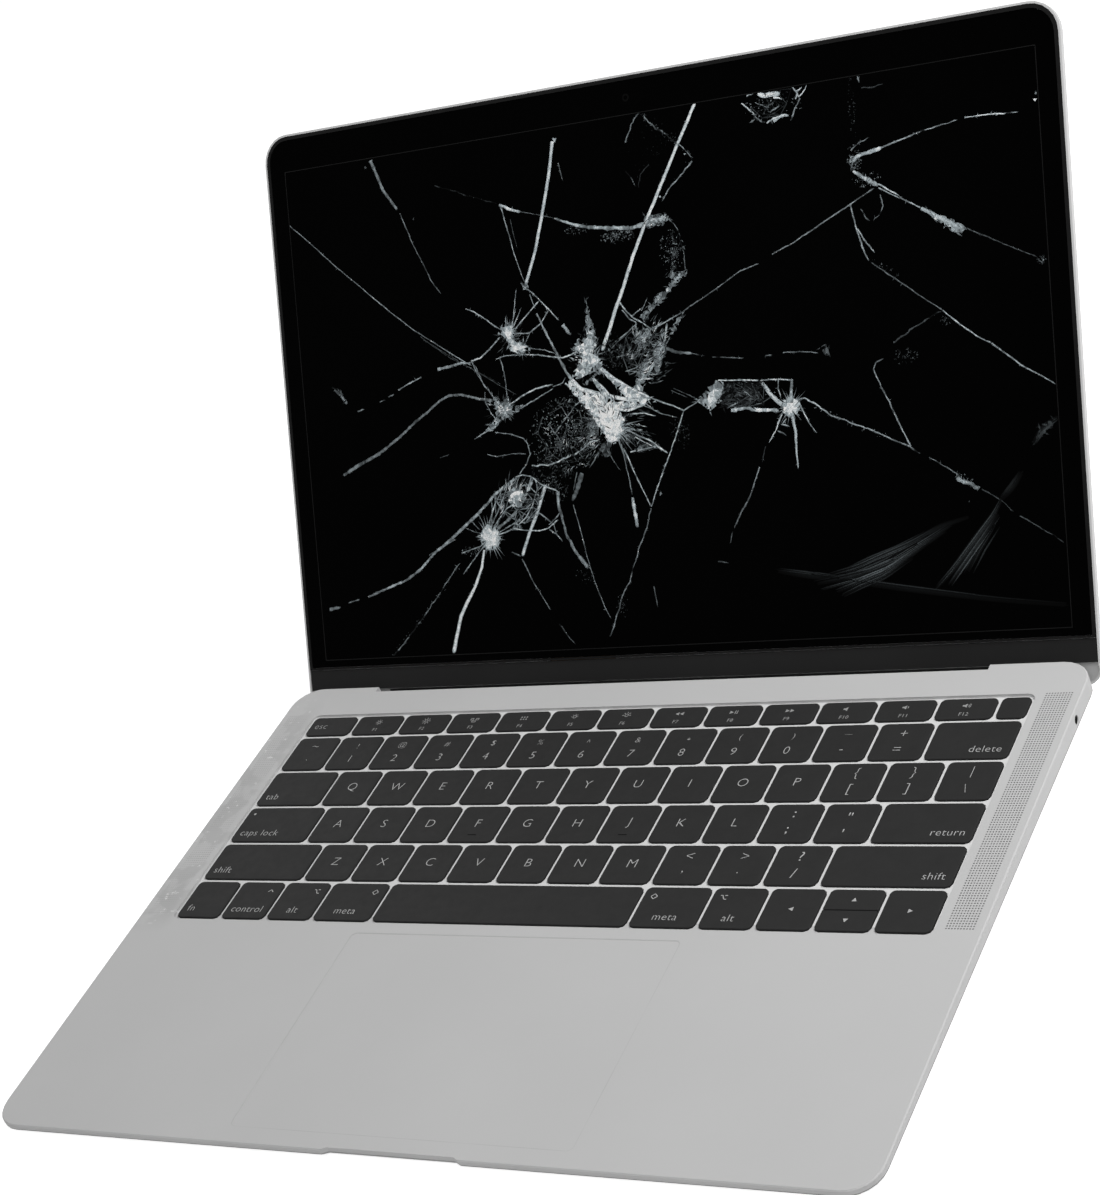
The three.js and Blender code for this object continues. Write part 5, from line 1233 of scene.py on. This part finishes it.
# Crushed areas: shade, mottle and outline
CRUSHED = [
    (1, 0.14, [(128, 84), (131, 84.5), (137, 82), (142, 81.5), (147, 81.3), (141, 79.5), (141.5, 75.5),
      (140, 71), (137.5, 69.5), (134.5, 72), (132, 76.5), (129.5, 80)]),
    (1.05, 0.2, [(120.5, 90), (123, 91.5), (124, 88.5), (127, 86), (130, 86), (133, 85.5), (136, 84.5),
      (138, 83.2), (141, 82), (146, 82), (150, 83), (152.3, 82), (151, 80.5), (146, 80), (143, 79.7),
      (141, 80.5), (140.5, 78.5), (142.5, 76.5), (142, 74), (141, 72), (140.5, 70), (138.5, 68.5),
      (136, 69), (134, 71), (133, 73.5), (131, 76), (129.5, 79), (127, 81.5), (125, 84), (122.5, 87)]),
    (0.95, 0.2, [(135, 93.7), (136.5, 93.2), (139, 90), (143, 87.5), (147, 85), (150, 83.7), (152.7, 82.3),
      (150, 82), (147, 82.7), (144.3, 82.2), (143, 83.8), (141, 86.3), (138.5, 88.8), (136, 91.5)]),
    (0.88, 0.15, [(131.5, 90), (133, 89.5), (135.7, 86.5), (138, 83.5), (135.5, 84), (133, 87),
      (131.5, 89)]),
    (0.7, 0.25, [(128, 88.7), (131, 90.2), (133, 91.7), (135.3, 92.5), (134.5, 93.7), (131, 91.5),
      (128, 89.7)]),
    (0.82, 0.34, [(129.5, 104.5), (131, 105.5), (133, 104), (133.5, 100), (134, 97), (135.5, 95),
      (134, 93.3), (131.5, 92.8), (128.5, 92), (125, 91), (122.5, 91), (123.5, 93.5), (126, 96),
      (127, 98.5), (125.5, 100), (124, 101.3), (126, 104)]),
    (0.76, 0.25, [(130.7, 117), (131.7, 111), (132.8, 107), (133.3, 103), (129.8, 103.5), (130.2, 110)]),
    (0.78, 0.35, [(152, 105.5), (155.5, 105), (154, 102), (152, 100.3), (149, 100), (147.3, 101.3),
      (150, 103)]),
    (0.78, 0.32, [(149.5, 94.2), (153.5, 93.7), (153.5, 90), (151.5, 88), (150, 84.5), (147, 85.5),
      (148, 89), (149.5, 91.5)]),
    (0.7, 0.4, [(155, 100), (158, 101), (160.5, 99.5), (159.5, 96), (158.3, 93), (157, 90), (155.5, 89.5),
      (156, 94), (155.3, 97)]),
    (0.72, 0.2, [(161.5, 101.5), (163.5, 105), (167.7, 109), (167.3, 107), (164.5, 103.3)]),
    (0.7, 0.3, [(169.8, 122.5), (167, 121.5), (163, 118.6), (159, 115.3), (154.5, 111.5), (151, 109),
      (153, 107.4), (157, 111.3), (162, 115.3), (166, 118.5), (169.8, 120.8)]),
    (0.5, 0.45, [(163, 121), (165.5, 124), (166.5, 122.3), (164.5, 120)]),
    (0.9, 0.2, [(95.5, 110.5), (97, 111.2), (99, 112), (101, 111), (101.2, 108.5), (100.5, 107),
      (102, 105.5), (104.5, 105.3), (106.5, 103.5), (108, 102.5), (104, 101.5), (101, 102), (99, 103),
      (98.3, 106), (96.5, 108.3), (94.3, 109)]),
    (0.72, 0.2, [(105.2, 125.3), (107.8, 125), (108, 122.5), (106, 122.8)]),
    (0.8, 0.35, [(90, 88.5), (91.5, 87.7), (93, 85.7), (95, 86.7), (96.6, 87.8), (96.7, 85), (98, 84),
      (100, 84.3), (102.3, 84.5), (102, 83), (98, 81.3), (95, 80.5), (92, 79.3), (90, 77.3), (88, 76.5),
      (86, 77), (89, 79), (91, 81.3), (91, 84.5)]),
    (0.92, 0.12, [(80.5, 41), (81.5, 43), (84, 44.8), (86.5, 44), (88.3, 42), (89, 39.5), (87.7, 37),
      (85.5, 35.8), (82.5, 36), (80.8, 38)]),
    (0.88, 0.3, [(94, 55.5), (96, 57), (97.5, 56), (99.5, 55.3), (100, 52), (97.7, 49.8), (95, 50),
      (93.3, 52)]),
    (0.72, 0.3, [(93.7, 42), (98, 42.5), (97.2, 46), (95.3, 44.5)]),
    (0.5, 0.4, [(127.7, 69.3), (131, 72), (132.3, 75), (130.3, 78), (128, 76), (126.7, 72)]),
    (0.46, 0.45, [(131, 66), (133.5, 69), (136, 68), (135.5, 64.5), (132.5, 64.5)]),
    (0.46, 0.35, [(113.7, 71), (117, 70.7), (116.8, 67.7), (114, 67.3)]),
    (0.34, 0.3, [(142, 71.5), (146, 71), (145, 68.3), (142.3, 69)]),
    (0.46, 0.35, [(144, 65.2), (150, 68), (155, 66.5), (152, 65.2)]),
    (0.82, 0.3, [(170.5, 79.5), (173, 81.5), (176, 84), (179, 86), (181, 84.7), (180, 81), (179, 79),
      (177, 76.8), (175, 76), (172.5, 78)]),
    (0.16, 0.9, [(176, 84.8), (185, 84.6), (195, 84), (194, 80.5), (196, 76), (188, 76.5), (180, 77)]),
    (0.94, 0.12, [(201.5, 75), (202.5, 77.3), (205, 78), (207.5, 77), (208.8, 74.5), (207, 72.3),
      (204, 71.5), (202, 73)]),
    (0.45, 0.4, [(217, 92.5), (219, 93.5), (220, 89.8), (218.5, 90)]),
    (0.78, 0.35, [(257, 131), (262, 128.6), (266, 126.1), (269.7, 124), (268, 122.5), (264, 124.3),
      (259, 128)]),
    (0.5, 0.5, [(231, 151), (233.5, 150.5), (234, 147), (232, 146)]),
    (0.62, 0.5, [(156, 141.5), (160, 141.5), (165, 140.5), (163, 138), (158, 137.5), (155, 138)]),
    (0.3, 0.2, [(286.8, 56.3), (290, 62.3), (295.3, 64.3), (291.5, 60.3)]),
    (0.42, 0.4, [(23, 97), (25.5, 95.3), (28, 91), (26, 92.3)]),
]

# Bright points: place, size, shade
CHIPS = [
    (295, 161, 0.6, 0.6), (294.6, 159, 0.7, 0.95), (172.7, 159.5, 0.6, 0.8), (162.3, 147, 0.6, 0.75),
    (123, 170.8, 1.2, 0.8), (44.2, 172.2, 0.7, 0.32), (63, 152, 0.7, 0.3), (264.5, 40.5, 0.5, 0.3),
    (154, 50.6, 0.9, 0.55), (154.5, 81, 0.8, 0.7),
]

# Smooth grey streaks in the lower right, painted reflection on the glass: shade and points
REFLECTION_STREAKS = [
    (0.32, [(264, 35.7), (255, 33.7), (245, 29.3), (235, 26), (225, 22.6), (215, 20.6)]),
    (0.36, [(258, 33.7), (248, 28.7), (238, 24), (228, 20.8), (215, 19.2)]),
    (0.42, [(256, 32), (246, 27), (236, 21.8), (226, 18.8), (212, 16)]),
    (0.4, [(252, 30), (243, 25), (234, 20.2), (226, 17.7), (217, 15)]),
    (0.3, [(250, 31), (240, 27), (230, 24), (220, 20.3)]),
    (0.3, [(246, 28.5), (236, 23.5), (224, 19.6), (210, 17.8)]),
    (0.26, [(244, 24.5), (234, 19), (226, 16.5), (219, 13.8)]),
    (0.2, [(208, 21), (216, 19.3), (226, 17.5), (240, 15), (252, 13), (270, 10), (294, 7)]),
    (0.22, [(196, 22.5), (208, 20.5), (218, 19)]),
    (0.42, [(275.5, 40.7), (272, 35.5), (266, 29), (258, 20.3), (251.5, 14.2)]),
    (0.38, [(274, 36), (268, 29), (261, 21), (256.3, 15.5)]),
    (0.26, [(272.5, 33), (267, 26), (262.5, 19)]),
    (0.22, [(282.5, 48), (279, 44), (275.5, 40.5)]),
    (0.28, [(287, 56.8), (290.5, 61), (295.2, 64)]),
]


# Splinters thrown from an impact: place, inner and outer radius, count, shade, width and angles spanned
RAYS = [
    (84.3, 40, 4, 9.0, 32, 0.75, 0.6),
    (96.8, 53, 3, 7, 22, 0.6, 0.5),
    (99, 109.5, 2.5, 6, 20, 0.6, 0.5),
    (103.5, 103, 2, 4.5, 12, 0.5, 0.45),
    (95, 83, 2.5, 6, 14, 0.55, 0.5),
    (138, 74, 6, 15, 12, 0.7, 0.6, -80, 12),
    (132, 77, 5, 10, 9, 0.55, 0.45, 150, 265),
    (130.5, 98, 4.5, 9, 16, 0.6, 0.5),
    (204.8, 75, 3, 7.5, 26, 0.7, 0.42),
    (151.5, 91, 3, 6.5, 16, 0.5, 0.5),
    (152, 102, 3, 6, 14, 0.5, 0.45),
]

# Splintered fields: count, place, half sizes, impact they point from, length, shade, stray, and where they
# are not usual, width and lift
CORE = (137, 77)
SPLINTERS = [
    (470, 120, 73, 15, 12, CORE, 2.2, 0.52, 0.8, 0.28),
    (250, 112, 59, 9, 8, CORE, 2.0, 0.44, 0.9, 0.26),
    (300, 130, 73, 8, 9, CORE, 3.0, 0.66, 0.5, 0.28),
    (110, 145, 73, 8, 8, CORE, 4.0, 0.6, 0.2, 0.3),
    (60, 136.5, 78, 7.5, 8, (138, 73), 4.0, 0.25, 0.35, 0.4, 0.13),
    (240, 143, 99, 9, 6, (140, 90), 2.6, 0.42, 0.8),
    (240, 153, 97, 8, 11, (140, 88), 4.6, 0.7, 0.4, 0.4),
    (110, 129, 97, 6, 9, (131, 96), 3.4, 0.66, 0.3, 0.35),
    (90, 189, 80, 10, 4.2, (200, 78), 5.0, 0.42, 0.35, 0.4),
    (230, 97, 52, 10, 8, (85, 40), 4.5, 0.8, 0.25),
    (26, 206.5, 170, 10.5, 4.5, (207, 180), 3.0, 0.8, 1.2, 0.5),
    (70, 166, 128, 4.5, 8, (167, 150), 3.0, 0.45, 0.6),
    (60, 145, 137, 8, 1.6, (145, 160), 2.0, 0.5, 0.8),
    (60, 93, 83, 5, 5, (93, 83), 4.0, 0.5, 0.4),
    (60, 100, 107, 5, 5, (100, 107), 4.0, 0.5, 0.4),
]

# Webs of fine cracks: count of knots, place, half sizes, shade, width and reach
WEBS = [
    (50, 119, 74, 14, 12, 0.4, 0.22, 7),
    (30, 152, 97, 9, 10, 0.45, 0.26, 7),
    (40, 97, 51, 10, 8, 0.62, 0.34, 7),
    (26, 189, 80, 10, 4.2, 0.4, 0.25, 8),
    (14, 206.5, 171, 10, 5, 0.32, 0.25, 8),
]

# Powdered areas: count, place, half sizes, size of a chip and shade
POWDER = [
    (520, 119, 73, 15, 13, 0.36, 0.62),
    (150, 112, 58, 9, 8, 0.35, 0.42),
    (160, 143, 98, 9, 6, 0.35, 0.42),
    (110, 163, 70, 4, 6, 0.3, 0.35),
    (130, 165, 129, 4.5, 7, 0.4, 0.5),
    (110, 145, 136.5, 7, 2.6, 0.4, 0.5),
    (70, 130, 140.5, 6, 1.6, 0.35, 0.45),
    (110, 189, 80, 11, 4.5, 0.4, 0.42),
    (90, 206.5, 170.5, 11, 5, 0.4, 0.42),
    (70, 237, 143, 5, 2.5, 0.4, 0.45),
    (40, 293.5, 111.5, 1.6, 1.4, 0.35, 0.5),
    (60, 246, 87, 5, 2.5, 0.4, 0.3),
    (30, 260.5, 96.5, 2.2, 1.6, 0.35, 0.38),
    (50, 234, 165, 1.5, 10, 0.35, 0.26),
    (60, 233.5, 150, 2.5, 5, 0.4, 0.42),
    (90, 162, 161, 12, 12, 0.3, 0.2),
    (60, 136, 14, 2.5, 4, 0.35, 0.34),
    (40, 122, 25, 4, 3, 0.3, 0.3),
    (50, 76, 36, 4, 1.8, 0.4, 0.44),
]

# Chips along a line: points, spread, count, size and shade
DUST = [
    ([(261, 49), (268, 44.5)], 0.6, 40, 0.45, 0.55),
    ([(213, 75), (223, 69), (238, 62.5)], 0.5, 40, 0.4, 0.5),
    ([(39, 1), (60, 20.5), (71, 32)], 0.5, 60, 0.35, 0.36),
    ([(236, 118), (246, 112)], 0.6, 24, 0.4, 0.34),
    ([(158, 174), (170, 163)], 0.7, 50, 0.4, 0.42),
    ([(168, 165), (176, 158)], 0.6, 24, 0.35, 0.4),
]


def make_fractures():
    work = Fracture()
    for draw, rows in (
        (work.streaks, REFLECTION_STREAKS), (work.crack, CRACKS), (work.patch, CRUSHED), (work.chip, CHIPS),
        (work.rays, RAYS), (work.splinters, SPLINTERS), (work.web, WEBS), (work.powder, POWDER),
        (work.dust, DUST),
    ):
        for row in rows:
            draw(*row)
    work.piece("fractures", [fractured], "lid", "black_glass", LID)


make_fractures()


# Stage: pale floor, white surroundings and soft studio light
def white_where_seen(tree):
    """1 for the rays that see a surface themselves, by sight, in a gloss or through glass."""
    path = tree.nodes.new("ShaderNodeLightPath")
    seen = path.outputs["Is Camera Ray"]
    for name in ("Is Glossy Ray", "Is Transmission Ray"):
        node = tree.nodes.new("ShaderNodeMath")
        node.operation = "MAXIMUM"
        tree.links.new(seen, node.inputs[0])
        tree.links.new(path.outputs[name], node.inputs[1])
        seen = node.outputs[0]
    return seen


def scaled(tree, source, low, high):
    """A value that runs from low to high as the source runs from 0 to 1."""
    node = tree.nodes.new("ShaderNodeMapRange")
    node.inputs[3].default_value = low
    node.inputs[4].default_value = high
    tree.links.new(source, node.inputs[0])
    return node.outputs[0]


WORLD_LIGHT, FLOOR_COLOUR, FLOOR_ROUGHNESS, FLOOR_LIFT = 0.24, 0.8, 0.8, 0.72
FLOOR_REACH, FLOOR_LEVEL = 7.0, -5e-5
LAMPS = (  # name, place, size and power
    ("key_light", (0.58, 0.3, 0.8), 0.4, 6.85),
    ("fill_light", (1.1, -1.5, 2.0), 1.6, 24.0),
)


def make_stage():
    world = bpy.data.worlds.new("studio")
    bpy.context.scene.world = world
    world.use_nodes = True
    background = world.node_tree.nodes["Background"]
    background.inputs["Color"].default_value = (1, 1, 1, 1)
    seen = white_where_seen(world.node_tree)
    strength = scaled(world.node_tree, seen, WORLD_LIGHT, 1.0)
    world.node_tree.links.new(strength, background.inputs["Strength"])

    mesh = bpy.data.meshes.new("floor")
    corners = [(i * FLOOR_REACH, j * FLOOR_REACH, FLOOR_LEVEL) for i, j in SQUARE]
    mesh.from_pydata(corners, [], [(0, 1, 2, 3)])
    floor = bpy.data.objects.new("floor", mesh)
    bpy.context.scene.collection.objects.link(floor)
    material = bpy.data.materials.new("floor_paper")
    material.use_nodes = True
    shader = material.node_tree.nodes["Principled BSDF"]
    shader.inputs["Base Color"].default_value = (FLOOR_COLOUR,) * 3 + (1,)
    shader.inputs["Roughness"].default_value = FLOOR_ROUGHNESS
    shader.inputs["Specular IOR Level"].default_value = 0.0
    shader.inputs["Emission Color"].default_value = (1, 1, 1, 1)
    seen = white_where_seen(material.node_tree)
    material.node_tree.links.new(scaled(material.node_tree, seen, 0.0, FLOOR_LIFT),
                                 shader.inputs["Emission Strength"])
    mesh.materials.append(material)

    for name, place, size, power in LAMPS:
        light = bpy.data.lights.new(name, "AREA")
        light.shape, light.size, light.energy = "SQUARE", size, power
        lamp = bpy.data.objects.new(name, light)
        lamp.location = place
        lamp.rotation_mode = "QUATERNION"
        lamp.rotation_quaternion = (-Vector(place)).to_track_quat("-Z", "Y")
        bpy.context.scene.collection.objects.link(lamp)


make_stage()
bpy.context.scene.view_settings.view_transform = "Standard"
